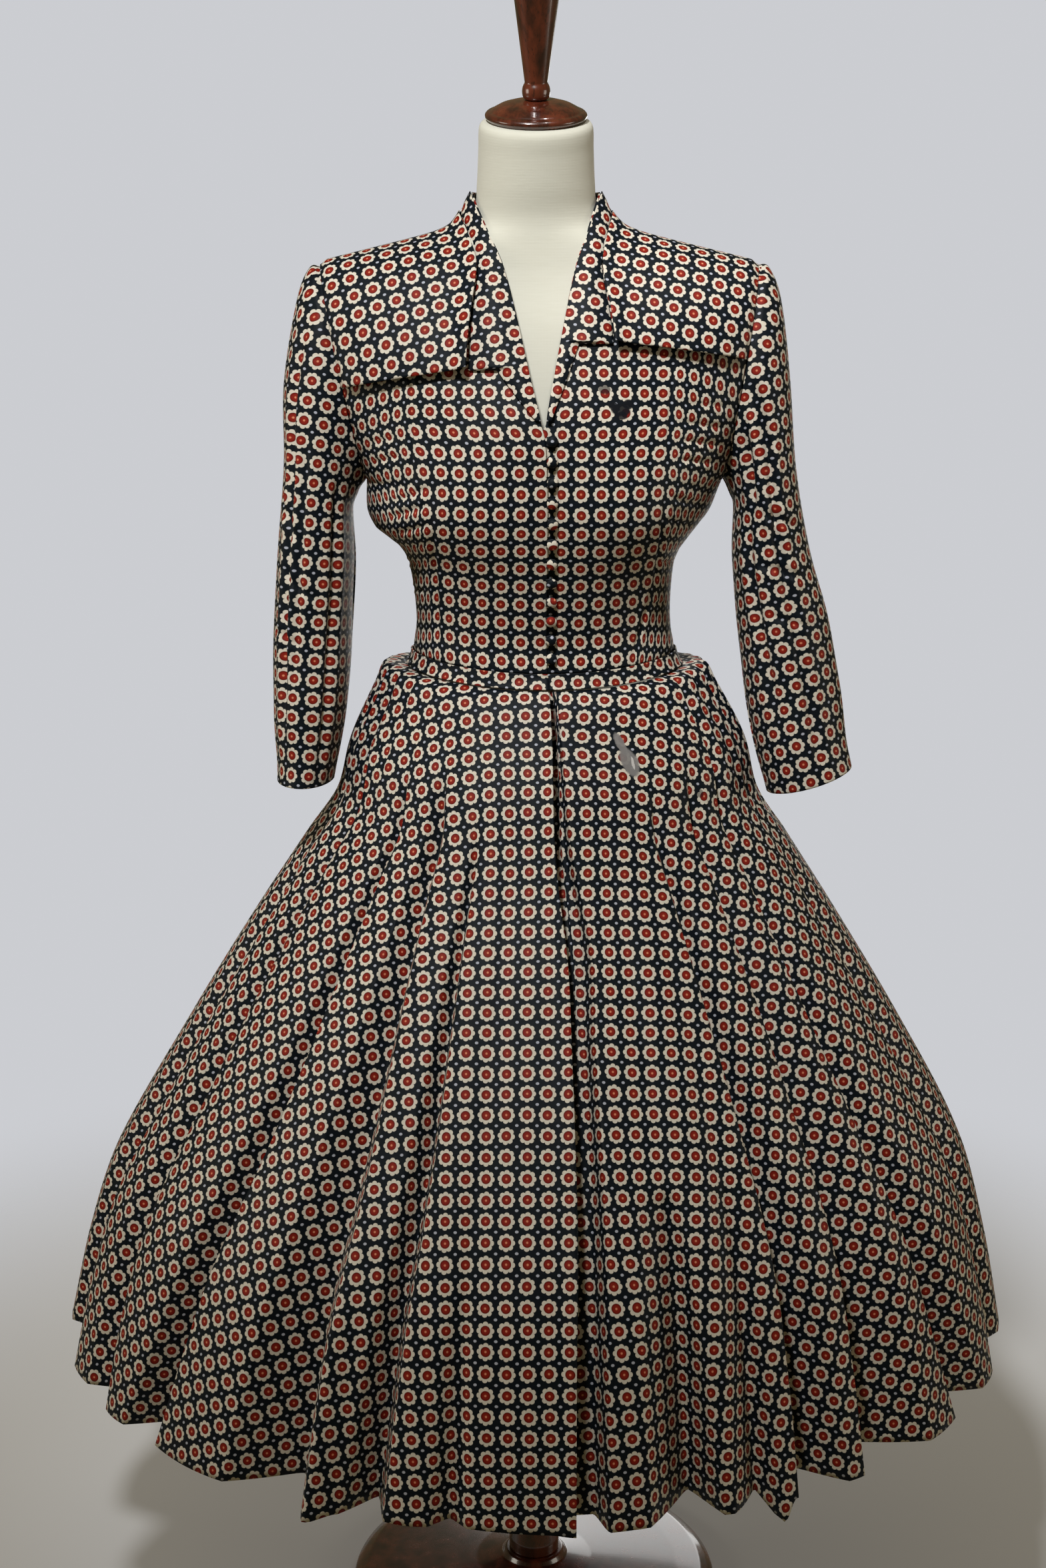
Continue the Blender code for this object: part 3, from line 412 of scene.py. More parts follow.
def shell(name, place, flat, material):
    """A thin mesh of quads through a grid of points, with the flat map as its UVs."""
    tall, wide = place.shape[:2]
    index = np.arange(tall * wide).reshape(tall, wide)
    quads = np.stack([index[:-1, :-1], index[:-1, 1:], index[1:, 1:], index[1:, :-1]], -1).reshape(-1, 4)
    corners = quads.reshape(-1)
    mesh = bpy.data.meshes.new(name)
    mesh.vertices.add(tall * wide)
    mesh.vertices.foreach_set("co", place.reshape(-1).astype(np.float32))
    mesh.loops.add(quads.size)
    mesh.loops.foreach_set("vertex_index", corners.astype(np.int32))
    mesh.polygons.add(len(quads))
    mesh.polygons.foreach_set("loop_start", (np.arange(len(quads)) * 4).astype(np.int32))
    mesh.update(calc_edges=True)
    layer = mesh.uv_layers.new(name="cloth")
    layer.uv.foreach_set("vector", (flat.reshape(-1, 2)[corners] / PITCH).astype(np.float32).ravel())
    mesh.validate()
    mesh.shade_smooth()
    item = linked(name, mesh)
    mesh.materials.append(material)
    solid = item.modifiers.new("thickness", "SOLIDIFY")
    solid.thickness = THIN
    solid.offset = -1.0
    solid.use_quality_normals = True
    return item


def arc(place, axis):
    """Distance along a grid's rows (axis 1) or columns (axis 0) from its first line."""
    steps = np.linalg.norm(np.diff(place, axis=axis), axis=-1)
    return np.concatenate([np.zeros_like(np.take(steps, [0], axis)), np.cumsum(steps, axis)], axis)


# ---- bodice --------------------
def armhole(turn, depth):
    middle, reach = (ARMHOLE_HIGH + ARMHOLE_LOW) / 2, (ARMHOLE_HIGH - ARMHOLE_LOW) / 2
    z = middle + reach * np.cos(turn)
    x = ARMHOLE_X + (SHOULDER_X - ARMHOLE_X) * (z - ARMHOLE_LOW) / (ARMHOLE_HIGH - ARMHOLE_LOW)
    return x, depth * np.sin(turn), z


def ridge(x):
    stand = COLLAR_STAND * np.exp((NECK_TIP_X - x) / COLLAR_FILLET)
    return ARMHOLE_HIGH + SHOULDER_SLOPE * (SHOULDER_X - x) + stand


def rise_of(v):
    return np.maximum(0.0, (v - ARMPIT_LEVEL) / (1.0 - ARMPIT_LEVEL))


def panel_sweep(v):
    return np.radians(90 - 42 * ramp(rise_of(v), 0.0, 0.5))


def bodice(front, u, v):
    """Left half of the bodice: u from the centre or neck edge to the side seam or armhole."""
    u, v = both(u, v)
    cx, cy, cz = along(FRONT_CENTRE if front else BACK_CENTRE, v)
    if not front:
        cx = np.where(v <= BACK_NECK_LEVEL, 0.0, cx)
    above = rise_of(v)
    ax, ay, az = armhole(math.pi * (1.0 - above), -ARMHOLE_FRONT if front else ARMHOLE_BACK)
    sx, sz = along(SIDE_SEAM, v)
    ex, ey, ez = (np.where(above > 0, a, b) for a, b in ((ax, sx), (ay, 0.0), (az, sz)))
    sweep = panel_sweep(v)
    turn = u * sweep
    x = cx + (ex - cx) * np.sin(turn) / np.sin(sweep)
    y = ey + (cy - ey) * (np.cos(turn) - np.cos(sweep)) / (1.0 - np.cos(sweep))
    low_share = np.sin(u * math.pi / 2) ** 2
    share = low_share + (u - low_share) * ramp(above, 0.0, 0.5)
    start = NECK_TIP_X if front else NECK_POINT_X
    on_ridge = start + (x - cx) / (ex - cx) * (SHOULDER_X - start)
    ridge_share = (ridge(start) - ridge(on_ridge)) / (ridge(start) - ridge(SHOULDER_X))
    share = share + (ridge_share - share) * ramp(above, 0.5, 1.0)
    z = cz + (ez - cz) * share
    if front:
        off = ((x - BUST_X) ** 2 + (z - BUST_Z) ** 2) / (2 * BUST_SPREAD ** 2)
        y = y - BUST_RISE * np.exp(-off)
    return points(x, y, z)


def mirrored(side, place):
    """The points on the wearer's left (side 1) or right (side -1), fuller or closer at the side seam."""
    spread = np.interp(place[..., 2], *np.array(SIDE_SPREAD[side]).T)
    turned = place.copy()
    turned[..., 0] = (turned[..., 0] + spread * ramp(turned[..., 0], 0.085, 0.140)) * side
    return sway(turned)


def bodice_front(side):
    def surface(u, v):
        place = bodice(True, u, v)
        if side > 0:
            under = 1.0 - ramp(place[..., 0], STAND_EDGE, STAND_EDGE + STAND_STEP)
            place[..., 1] += UNDERLAP_DEPTH * under * (1.0 - ramp(v, PARTED, PARTED + 0.035))
        return mirrored(side, place)
    return surface


def neck_face(side):
    return lambda u, v: mirrored(side, bodice(True, u, v))


def centre_share(x, v):
    sweep = panel_sweep(v)
    return x * np.sin(sweep) / (sweep * bodice(True, 1.0, v)[..., 0])


def front_start(side, v):
    closed = centre_share(-UNDERLAP if side > 0 else -CLOSURE_EDGE, v)
    return closed * (1.0 - ramp(v, PARTED - 0.040, PARTED))


def fold_share(v):
    return along(LAPEL_FOLD, np.maximum(v, NECK_LEVEL))[0]


# ---- print --------------------
class Nodes:
    """Short names for making a material's nodes."""

    def __init__(self, name):
        self.material = bpy.data.materials.new(name)
        self.material.use_nodes = True
        self.tree = self.material.node_tree
        self.shader = self.tree.nodes["Principled BSDF"]

    def make(self, kind, inputs=(), **settings):
        node = self.tree.nodes.new(kind)
        for key, value in settings.items():
            setattr(node, key, value)
        for key, value in dict(inputs).items():
            self.put(node.inputs[key], value)
        return node

    def put(self, socket, value):
        if isinstance(value, bpy.types.NodeSocket):
            self.tree.links.new(value, socket)
        else:
            socket.default_value = value

    def math(self, operation, a, b=0.0, c=0.0, clamp=False):
        node = self.tree.nodes.new("ShaderNodeMath")
        node.operation = operation
        node.use_clamp = clamp
        for socket, value in zip(node.inputs, (a, b, c)):
            self.put(socket, value)
        return node.outputs[0]

    def vector(self, operation, a, b=(0.0, 0.0, 0.0), scale=None):
        node = self.tree.nodes.new("ShaderNodeVectorMath")
        node.operation = operation
        self.put(node.inputs[0], a)
        self.put(node.inputs[1], b)
        if scale is not None:
            self.put(node.inputs["Scale"], scale)
        return node.outputs["Value" if operation in ("LENGTH", "DOT_PRODUCT", "DISTANCE") else "Vector"]

    def step(self, value, low, high):
        """1 below low, 0 above high, smooth between."""
        node = self.make("ShaderNodeMapRange", {"Value": value, "From Min": low, "From Max": high,
                                                "To Min": 1.0, "To Max": 0.0})
        node.interpolation_type = "SMOOTHSTEP"
        return node.outputs["Result"]

    def mix(self, share, a, b):
        node = self.make("ShaderNodeMix", data_type="RGBA")
        self.put(node.inputs["Factor"], share)
        self.put(node.inputs["A"], a if isinstance(a, bpy.types.NodeSocket) else (*a, 1.0))
        self.put(node.inputs["B"], b if isinstance(b, bpy.types.NodeSocket) else (*b, 1.0))
        return node.outputs["Result"]

    def noise(self, vector, scale, detail=2.0, rough=0.5, colour=False):
        node = self.make("ShaderNodeTexNoise", {"Vector": vector, "Scale": scale, "Detail": detail,
                                                "Roughness": rough})
        return node.outputs["Color" if colour else "Fac"]

    def away(self, colour):
        """A colour's channels as offsets about zero."""
        return self.vector("SUBTRACT", colour, (0.5, 0.5, 0.5))

    def wave(self, vector, scale, distortion, direction):
        return self.make("ShaderNodeTexWave", {"Vector": vector, "Scale": scale, "Distortion": distortion,
                                               "Detail": 1.0}, bands_direction=direction).outputs["Fac"]

    def place(self):
        return self.make("ShaderNodeTexCoord").outputs["Object"]

    def finished(self, inputs):
        """Sets the shader's inputs and gives the material."""
        for key, value in inputs.items():
            self.put(self.shader.inputs[key], value)
        return self.material

    def bump(self, height, strength, distance, normal=None):
        node = self.make("ShaderNodeBump", {"Height": height, "Strength": strength, "Distance": distance})
        if normal is not None:
            self.put(node.inputs["Normal"], normal)
        return node.outputs["Normal"]


# Sizes within the print's repeat, as shares of it.  A pair is where a soft edge starts and ends.
PETAL_NOTCH = 0.304      # radius between two petals, what a petal adds, and how much flowers differ
PETAL_REACH = 0.112
PETAL_VARIATION = 0.014
PETAL_EDGE = (-0.014, 0.014)
DISC_EDGE = (0.226, 0.250)
DISC_RIM = (0.130, 0.210)
DISC_EYE = (0.034, 0.070)
DOT_EDGE = (0.062, 0.100)
CLOTH_SPECULAR = 0.11
WEAVE_SCALE = 46.0
GROUND = (0.0030, 0.0058, 0.0095)
GROUND_WORN = (0.0062, 0.0090, 0.0130)
CREAM = (0.690, 0.640, 0.550)
CREAM_SHADE = (0.500, 0.442, 0.368)
RUST = (0.240, 0.014, 0.007)
RUST_RIM = (0.140, 0.008, 0.004)
INK = (0.0050, 0.0065, 0.0095)
WORN_PATCH = (0.200, 0.192, 0.192)
WORN_THREAD = (0.560, 0.540, 0.530)
PINK = (0.660, 0.240, 0.130)
LAVENDER = (0.420, 0.440, 0.520)


def printed_cloth(name, marks=()):
    """Navy sateen with rows of cream eight-petalled flowers, a rust disc in each and a dot between."""
    n = Nodes(name)
    flat = n.make("ShaderNodeUVMap", uv_map="cloth").outputs["UV"]
    wander = n.away(n.noise(flat, 0.35, 1.0, colour=True))
    place = n.vector("ADD", flat, n.vector("SCALE", wander, scale=0.10))
    cell = n.vector("FLOOR", place)
    chance = n.make("ShaderNodeTexWhiteNoise", {"Vector": cell}, noise_dimensions="2D").outputs["Color"]
    chances = n.make("ShaderNodeSeparateColor", {"Color": chance}).outputs
    inside = n.vector("SUBTRACT", n.vector("FRACTION", place), (0.5, 0.5, 0.0))
    shift = n.vector("SCALE", n.away(chance), scale=0.03)
    inside = n.vector("MULTIPLY", n.vector("ADD", inside, shift), (1.0, 1.0, 0.0))
    radius = n.vector("LENGTH", inside)
    parts = n.make("ShaderNodeSeparateXYZ", {"Vector": inside}).outputs
    turn = n.math("ARCTAN2", parts["Y"], parts["X"])
    phase = n.math("MULTIPLY_ADD", chances["Red"], 0.5, 0.1)
    wave = n.math("ABSOLUTE", n.math("COSINE", n.math("MULTIPLY_ADD", turn, 4.0, phase)))
    lobe = n.math("POWER", wave, 0.50)
    edge = n.math("MULTIPLY_ADD", lobe, PETAL_REACH, PETAL_NOTCH)
    edge = n.math("MULTIPLY_ADD", chances["Green"], PETAL_VARIATION, edge)
    past = n.math("SUBTRACT", radius, edge)
    petals = n.step(past, *PETAL_EDGE)

    weave = n.noise(flat, WEAVE_SCALE, 2.0, 0.6)
    slub = n.noise(n.vector("MULTIPLY", flat, (9.0, 0.7, 1.0)), 6.0, 2.0)
    faded = n.noise(flat, 0.12, 3.0)
    ground = n.mix(n.math("MULTIPLY", faded, weave), GROUND, GROUND_WORN)
    dots = n.vector("FRACTION", n.vector("ADD", place, (0.5, 0.5, 0.0)))
    dots = n.vector("SUBTRACT", dots, (0.5, 0.5, 0.0))
    dots = n.vector("LENGTH", n.vector("MULTIPLY", dots, (1.0, 1.25, 0.0)))
    base = n.mix(n.step(dots, *DOT_EDGE), ground, LAVENDER)
    crease = n.math("MULTIPLY", n.step(wave, 0.05, 0.45), n.step(radius, 0.40, 0.24))
    cream = n.mix(n.math("MULTIPLY", crease, 0.30), CREAM, CREAM_SHADE)
    cream = n.mix(n.math("MULTIPLY", weave, 0.35), cream, CREAM_SHADE)
    base = n.mix(petals, base, cream)
    disc = n.step(radius, *DISC_EDGE)
    red = n.mix(n.step(radius, *DISC_RIM), RUST_RIM, RUST)
    red = n.mix(n.step(radius, *DISC_EYE), red, PINK)
    base = n.mix(disc, base, red)
    base = n.mix(n.math("MULTIPLY", n.math("SUBTRACT", slub, 0.42, clamp=True), 0.5), base, GROUND_WORN)

    rough = n.math("MULTIPLY_ADD", weave, 0.22, 0.40)
    for centre, size, lean, colour, strength in marks:
        off = n.vector("SUBTRACT", flat, (centre[0] / PITCH, centre[1] / PITCH, 0.0))
        ragged = n.away(n.noise(flat, 2.5, 3.0, colour=True))
        off = n.vector("ADD", off, n.vector("SCALE", ragged, scale=0.18))
        spun = n.make("ShaderNodeVectorRotate", {"Vector": off, "Angle": lean}, rotation_type="Z_AXIS")
        near = n.vector("LENGTH", n.vector("MULTIPLY", spun.outputs["Vector"],
                                           (PITCH / size[0], PITCH / size[1], 0.0)))
        base = n.mix(n.math("MULTIPLY", n.step(near, 0.82, 1.08), strength), base, colour)

    twill = n.wave(flat, 16.0, 1.2, "DIAGONAL")
    normal = n.bump(n.math("ADD", n.math("MULTIPLY", twill, 0.4), weave), 0.22, 0.0004)
    normal = n.bump(n.noise(flat, 0.8, 3.0), 0.20, 0.004, normal)
    return n.finished({"Base Color": base, "Roughness": rough, "Normal": normal,
                       "Specular IOR Level": CLOTH_SPECULAR})


def plain_navy(name):
    """Plain dark cloth of the button loops."""
    n = Nodes(name)
    weave = n.noise(n.place(), 2600.0, 2.0, 0.6)
    return n.finished({"Base Color": n.mix(weave, GROUND, GROUND_WORN), "Normal": n.bump(weave, 0.2, 0.0003),
                       "Roughness": n.math("MULTIPLY_ADD", weave, 0.2, 0.5)})


def linen(name):
    """Matt cream cover cloth of the form."""
    n = Nodes(name)
    place = n.place()
    threads = n.math("ADD", n.wave(place, 420.0, 0.8, "Z"), n.wave(place, 420.0, 0.8, "X"))
    slubs = n.noise(n.vector("MULTIPLY", place, (1.0, 1.0, 9.0)), 60.0, 3.0)
    tone = n.noise(place, 14.0, 3.0)
    colour = n.mix(n.math("MULTIPLY", slubs, 0.5), (0.620, 0.615, 0.545), (0.540, 0.530, 0.450))
    colour = n.mix(n.math("MULTIPLY", tone, 0.35), colour, (0.580, 0.560, 0.470))
    height = n.math("ADD", n.math("MULTIPLY", threads, 0.3), slubs)
    return n.finished({"Base Color": colour, "Roughness": n.math("MULTIPLY_ADD", slubs, 0.15, 0.78),
                       "Sheen Weight": 0.15, "Normal": n.bump(height, 0.25, 0.0004)})


def varnished_wood(name):
    """Dark red-brown wood under gloss varnish, its grain along Z."""
    n = Nodes(name)
    place = n.place()
    figure = n.noise(n.vector("MULTIPLY", place, (1.0, 1.0, 0.07)), 55.0, 6.0, 0.62)
    pores = n.noise(n.vector("MULTIPLY", place, (1.0, 1.0, 0.03)), 520.0, 2.0)
    colour = n.mix(n.step(figure, 0.35, 0.65), (0.120, 0.024, 0.010), (0.028, 0.007, 0.004))
    colour = n.mix(n.math("MULTIPLY", n.step(pores, 0.30, 0.42), 0.6), colour, (0.012, 0.004, 0.003))
    return n.finished({"Base Color": colour, "Roughness": n.math("MULTIPLY_ADD", figure, 0.12, 0.20),
                       "Coat Weight": 0.8, "Coat Roughness": 0.09, "Normal": n.bump(figure, 0.06, 0.001)})


BODICE_MARKS = (
    # centre on the flat cut, half sizes, lean, colour, strength
    ((0.0765, 0.2462), (0.0092, 0.0058), 0.12, INK, 0.97),
    ((0.0832, 0.2510), (0.0052, 0.0046), 0.0, INK, 0.97),
    ((0.0703, 0.2498), (0.0048, 0.0042), 0.0, INK, 0.95),
    ((0.0772, 0.2412), (0.0056, 0.0040), 0.0, INK, 0.95),
    ((0.0628, 0.2655), (0.0062, 0.0052), 0.5, INK, 0.75),
)
SKIRT_MARKS = (
    ((0.0610, 0.1475), (0.0042, 0.0120), -0.46, WORN_PATCH, 0.94),
    ((0.0695, 0.1310), (0.0082, 0.0150), -0.46, WORN_PATCH, 0.94),
    ((0.0722, 0.1305), (0.0014, 0.0064), -0.30, WORN_THREAD, 0.85),
    ((0.1479, 0.1186), (0.0048, 0.0038), 0.4, INK, 0.62),
    ((0.1261, 0.1068), (0.0042, 0.0034), 0.0, INK, 0.58),
)
PRINT = printed_cloth("printed_sateen")
MARKED_BODICE = printed_cloth("printed_sateen_bodice_left", BODICE_MARKS)
MARKED_SKIRT = printed_cloth("printed_sateen_skirt_left", SKIRT_MARKS)
ROULEAU = plain_navy("plain_sateen")
LINEN = linen("form_linen")
WOOD = varnished_wood("varnished_wood")


def cut(item, name):
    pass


def ride(item, slot, *nodes):
    """The piece rides with the part and stands for the named nodes; slot is not used."""
    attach(item, "root")
    if nodes:
        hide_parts(*nodes)
    return item


# ---- laying a surface out flat --------------------
def slack(lay, step, wanted):
    """Corrections that bring neighbouring points, step (rows, columns) apart, to the wanted distance."""
    down, right = step
    tall, wide = lay.shape[:2]
    first = lay[max(-down, 0):tall - max(down, 0), :wide - right]
    second = lay[max(down, 0):tall + min(down, 0), right:]
    apart = second - first
    length = np.maximum(np.linalg.norm(apart, axis=-1, keepdims=True), 1e-9)
    pull = apart * (0.5 * (1.0 - wanted[..., None] / length))
    total, count = np.zeros_like(lay), np.zeros(lay.shape[:2] + (1,))
    total[max(-down, 0):tall - max(down, 0), :wide - right] += pull
    total[max(down, 0):tall + min(down, 0), right:] -= pull
    count[max(-down, 0):tall - max(down, 0), :wide - right] += 1
    count[max(down, 0):tall + min(down, 0), right:] += 1
    return total, count


def flattened(place, guess):
    """Flat map of a grid of points that keeps its lengths as nearly as a plane can."""
    tall, wide = place.shape[:2]
    along_row, along_column = arc(place, 1), arc(place, 0)
    right = unit(np.diff(place, axis=1))[:-1]
    down = unit(np.diff(place, axis=0))[:, :-1]
    skew = np.zeros((tall, wide))
    skew[1:, 1:] = np.cumsum(np.cumsum((right * down).sum(-1), 0), 1)
    flat = guess.copy()
    for level, rounds in RELAX:
        rows = np.unique(np.linspace(0, tall - 1, max(4, tall // level)).round().astype(int))
        columns = np.unique(np.linspace(0, wide - 1, max(4, wide // level)).round().astype(int))
        pick = np.ix_(rows, columns)
        across, up = np.diff(along_row[pick], axis=1), np.diff(along_column[pick], axis=0)
        cells = skew[pick]
        lean = (cells[1:, 1:] - cells[:-1, 1:] - cells[1:, :-1] + cells[:-1, :-1])
        lean = lean / (np.diff(rows)[:, None] * np.diff(columns)[None, :])
        a, b = (across[1:] + across[:-1]) / 2, (up[:, 1:] + up[:, :-1]) / 2
        long_way = np.sqrt(np.maximum(a * a + b * b + 2 * a * b * lean, 1e-12))
        short_way = np.sqrt(np.maximum(a * a + b * b - 2 * a * b * lean, 1e-12))
        lay = flat[pick]
        before = lay.copy()
        for _ in range(rounds):
            moves = [slack(lay, (0, 1), across), slack(lay, (1, 1), long_way), slack(lay, (-1, 1), short_way)]
            turned_moves = slack(lay.transpose(1, 0, 2), (0, 1), up.T)
            total = sum(move for move, _ in moves) + turned_moves[0].transpose(1, 0, 2)
            count = sum(number for _, number in moves) + turned_moves[1].transpose(1, 0, 2)
            lay = lay + total / count * RELAX_GAIN
        change = lay - before
        if level == 1:
            flat = lay
        else:
            wider = np.stack([[np.interp(np.arange(wide), columns, line) for line in change[..., k]]
                              for k in range(2)], -1)
            flat = flat + np.stack([np.stack([np.interp(np.arange(tall), rows, wider[:, i, k])
                                              for i in range(wide)], 1) for k in range(2)], -1)
    return flat


def relaxed(flat, place):
    return flattened(place, flat)


def level_map(place, column):
    """Flat map whose rows lie level on the body: arc lengths across, and heights along one column."""
    line = place[:, column]
    risen = np.concatenate([[0.0], np.cumsum(np.linalg.norm(np.diff(line, axis=0), axis=-1))])
    order = np.argsort(line[:, 2])
    up = np.interp(place[..., 2], line[order, 2], risen[order])
    lowest, highest = line[order[0], 2], line[order[-1], 2]
    up += np.minimum(place[..., 2] - lowest, 0.0) + np.maximum(place[..., 2] - highest, 0.0)

    def across(axis):
        steps = np.linalg.norm(np.diff(place, axis=axis), axis=-1) ** 2 - np.diff(up, axis=axis) ** 2
        return np.sqrt(np.maximum(steps, 1e-12))

    edge = np.concatenate([[0.0], np.cumsum(across(0)[:, 0] * (np.diff(np.abs(place[:, 0, 0])) > 1e-5))])
    right = np.concatenate([np.zeros((len(place), 1)), np.cumsum(across(1), 1)], 1) + edge[:, None]
    return np.stack([right, up], -1)


def slanted_map(place, column, height):
    """Flat map whose rows follow a field of heights, true to length along one column and across."""
    line = place[:, column]
    risen = np.concatenate([[0.0], np.cumsum(np.linalg.norm(np.diff(line, axis=0), axis=-1))])
    order = np.argsort(height[:, column])
    span = (risen[-1] - risen[0]) / (height[-1, column] - height[0, column])
    low, high = height[order[0], column], height[order[-1], column]
    up = np.interp(height, height[order, column], risen[order])
    up += span * (np.minimum(height - low, 0.0) + np.maximum(height - high, 0.0))
    across, down = np.diff(place, axis=1), np.diff(place, axis=0)
    lift, drop = np.diff(up, axis=1), np.diff(up, axis=0)
    reach = (across * across).sum(-1)
    width = np.sqrt(np.maximum(reach - lift * lift, 0.30 * reach + 1e-12))
    right = np.concatenate([np.zeros((len(place), 1)), np.cumsum(width, 1)], 1)
    right -= right[:, column:column + 1]
    skew = (across[:-1, column] * down[:, column]).sum(-1) - lift[:-1, column] * drop[:, column]
    skew = skew / width[:-1, column]
    right += np.concatenate([[0.0], np.cumsum(skew)])[:, None]
    return np.stack([right, up], -1)


def aligned(flat, low, high, direction):
    """The flat map turned so that the line from grid point low to high runs in a direction (degrees)."""
    line = flat[high] - flat[low]
    turn = math.radians(direction) - math.atan2(line[1], line[0])
    spin = np.array([[math.cos(turn), math.sin(turn)], [-math.sin(turn), math.cos(turn)]])
    return (flat - flat[low]) @ spin


def wander(at, seed):
    """Smooth uneven curve of one number, about -1 to 1."""
    return (np.sin(at + seed * 1.7) + 0.7 * np.sin(at * 1.93 + seed * 2.9 + 1.3)
            + 0.5 * np.sin(at * 3.37 + seed * 4.1 + 0.4)) / 2.2


CREASE_END = 0.35        # share of a crease's length over which it fades, and the depth left at its ends
CREASE_LEFT = 0.25
CREASE_SHOULDER = 0.45   # height of its shoulders as a share of its depth


def creases(table, x, z):
    """Height of soft creases: each a trough between two points, fading at its ends, with low shoulders."""
    total = np.zeros_like(np.asarray(x, float))
    for x0, z0, x1, z1, half, depth in table:
        length = math.hypot(x1 - x0, z1 - z0)
        dx, dz = (x1 - x0) / length, (z1 - z0) / length
        run = ((x - x0) * dx + (z - z0) * dz) / length
        off = (-(x - x0) * dz + (z - z0) * dx) / half
        fade = np.clip(np.minimum(run, 1.0 - run) / CREASE_END + CREASE_LEFT, 0.0, 1.0)
        fade = fade * fade * (3.0 - 2.0 * fade)
        total += depth * fade * (CREASE_SHOULDER * np.exp(-(np.abs(off) - 2.0) ** 2) - np.exp(-off * off))
    return total


# ---- bodice pieces --------------------
def piece(name, surface, columns, rows, side, node, height=None, level=None, align=(0, 90), shift=(0.0, 0.0),
          lay=None, relay=None, material=None):
    """One cloth shell: a grid on a surface, raised by height, with its own flat map.

    level is the column whose heights a level print follows, and lay a function that makes the map from
    the points; without either the cloth is laid out flat and turned so that the column of align runs in
    its direction.
    """
    u, v = grid(columns, rows)
    place = surface(u, v)
    out = facing_out(surface, u, v, side)
    if lay is not None:
        flat = lay(place)
    elif level is None:
        flat = flattened(place, np.stack([arc(place, 1) * side, arc(place, 0)], -1))
        flat = aligned(flat, (0, align[0]), (-1, align[0]), align[1])
    else:
        flat = level_map(place, level) * np.array([side, 1.0])
    flat = flat + np.array(shift)
    if relay is not None:
        flat = relay(flat, place)
    if height is not None:
        place = place + out * height(u, v, place)[..., None]
    item = shell(name, place, flat, material or PRINT)
    if side < 0:
        item.data.flip_normals()
    cut(item, name)
    return ride(item, "printed_sateen", node)


def front_surface(side):
    base = bodice_front(side)

    def surface(u, v):
        start = front_start(side, v)
        return base(start + (1.0 - start) * u, v)
    return surface


def seam_dip(distance):
    """Slight hollow beside a seam, from the distance to it."""
    return -SEAM_DEPTH * np.exp(-(distance / SEAM_REACH) ** 2)


FRONT_CREASES = {
    # from x and z to x and z on the front, half width, depth
    "right": (
        (-0.1112, 1.2680, -0.1116, 1.1640, 0.0016, 0.0017),
        (-0.0960, 1.1640, -0.1320, 1.1480, 0.0024, 0.0020),
        (-0.0950, 1.1500, -0.1350, 1.1330, 0.0024, 0.0022),
        (-0.0940, 1.1330, -0.1290, 1.1190, 0.0022, 0.0020),
        (-0.0935, 1.1170, -0.1150, 1.1070, 0.0020, 0.0016),
        (-0.0938, 1.1400, -0.0903, 1.0080, 0.0022, 0.0022),
        (-0.1240, 1.2080, -0.1520, 1.2000, 0.0024, 0.0014),
        (-0.1200, 1.1920, -0.1500, 1.1820, 0.0024, 0.0014),
        (-0.1060, 1.0900, -0.1250, 1.0840, 0.0018, 0.0012),
        (-0.1020, 1.0640, -0.1190, 1.0600, 0.0018, 0.0012),
    ),
    "left": (
        (0.1226, 1.2800, 0.1166, 1.1850, 0.0016, 0.0017),
        (0.1280, 1.2220, 0.1720, 1.2140, 0.0026, 0.0018),
        (0.1260, 1.2060, 0.1690, 1.1990, 0.0024, 0.0018),
        (0.1250, 1.1890, 0.1620, 1.1830, 0.0024, 0.0016),
        (0.1300, 1.2380, 0.1760, 1.2330, 0.0024, 0.0014),
        (0.1200, 1.1560, 0.1540, 1.1440, 0.0024, 0.0018),
        (0.1160, 1.1360, 0.1440, 1.1240, 0.0022, 0.0018),
        (0.1170, 1.1640, 0.1085, 1.0600, 0.0022, 0.0018),
        (0.1085, 1.0760, 0.0905, 1.0080, 0.0020, 0.0018),
        (0.1120, 1.0960, 0.1300, 1.0870, 0.0018, 0.0014),
        (0.1060, 1.0550, 0.1220, 1.0500, 0.0018, 0.0012),
    ),
}
TUCK_LINE = {"right": ((1.16, 0.1116), (1.27, 0.1112)), "left": ((1.185, 0.1166), (1.28, 0.1226))}
DART_LINE = {"right": ((1.00, 0.0890), (1.09, 0.0933), (1.14, 0.1000)),
             "left": ((1.00, 0.0885), (1.07, 0.1080), (1.10, 0.1133), (1.15, 0.1200))}


FRONT_BAND = (1.125, 1.175)          # heights between which the dart's take-up gives way to the tuck's
TUCK_FADE = (1.22, 1.30)             # heights over which the tuck's upward take-up halves
TUCK_ACROSS, TUCK_UP, TUCK_GROWTH = 0.35, 0.20, 3.2
DART_ACROSS, DART_UP = 0.9, 0.25
PUCKER_DEPTH, PUCKER_PITCH, PUCKER_REACH = 0.0006, 260.0, 0.010


def front_lay(name, side, flat, place):
    """Flat map of a front with the cloth taken up at its tuck, under the bust and beside the dart."""
    x, z = np.abs(place[..., 0]), place[..., 2]
    past = np.maximum(x - np.interp(z, *np.array(TUCK_LINE[name]).T), 0.0)
    share = ramp(z, *FRONT_BAND)
    beside = np.maximum(x - np.interp(z, *np.array(DART_LINE[name]).T), 0.0) * (1.0 - share)
    right = side * (TUCK_ACROSS * past * share + DART_ACROSS * beside)
    up = (TUCK_UP + TUCK_GROWTH * past) * past * share * (1.0 - 0.5 * ramp(z, *TUCK_FADE)) + DART_UP * beside
    return flat + np.stack([right, up], -1)


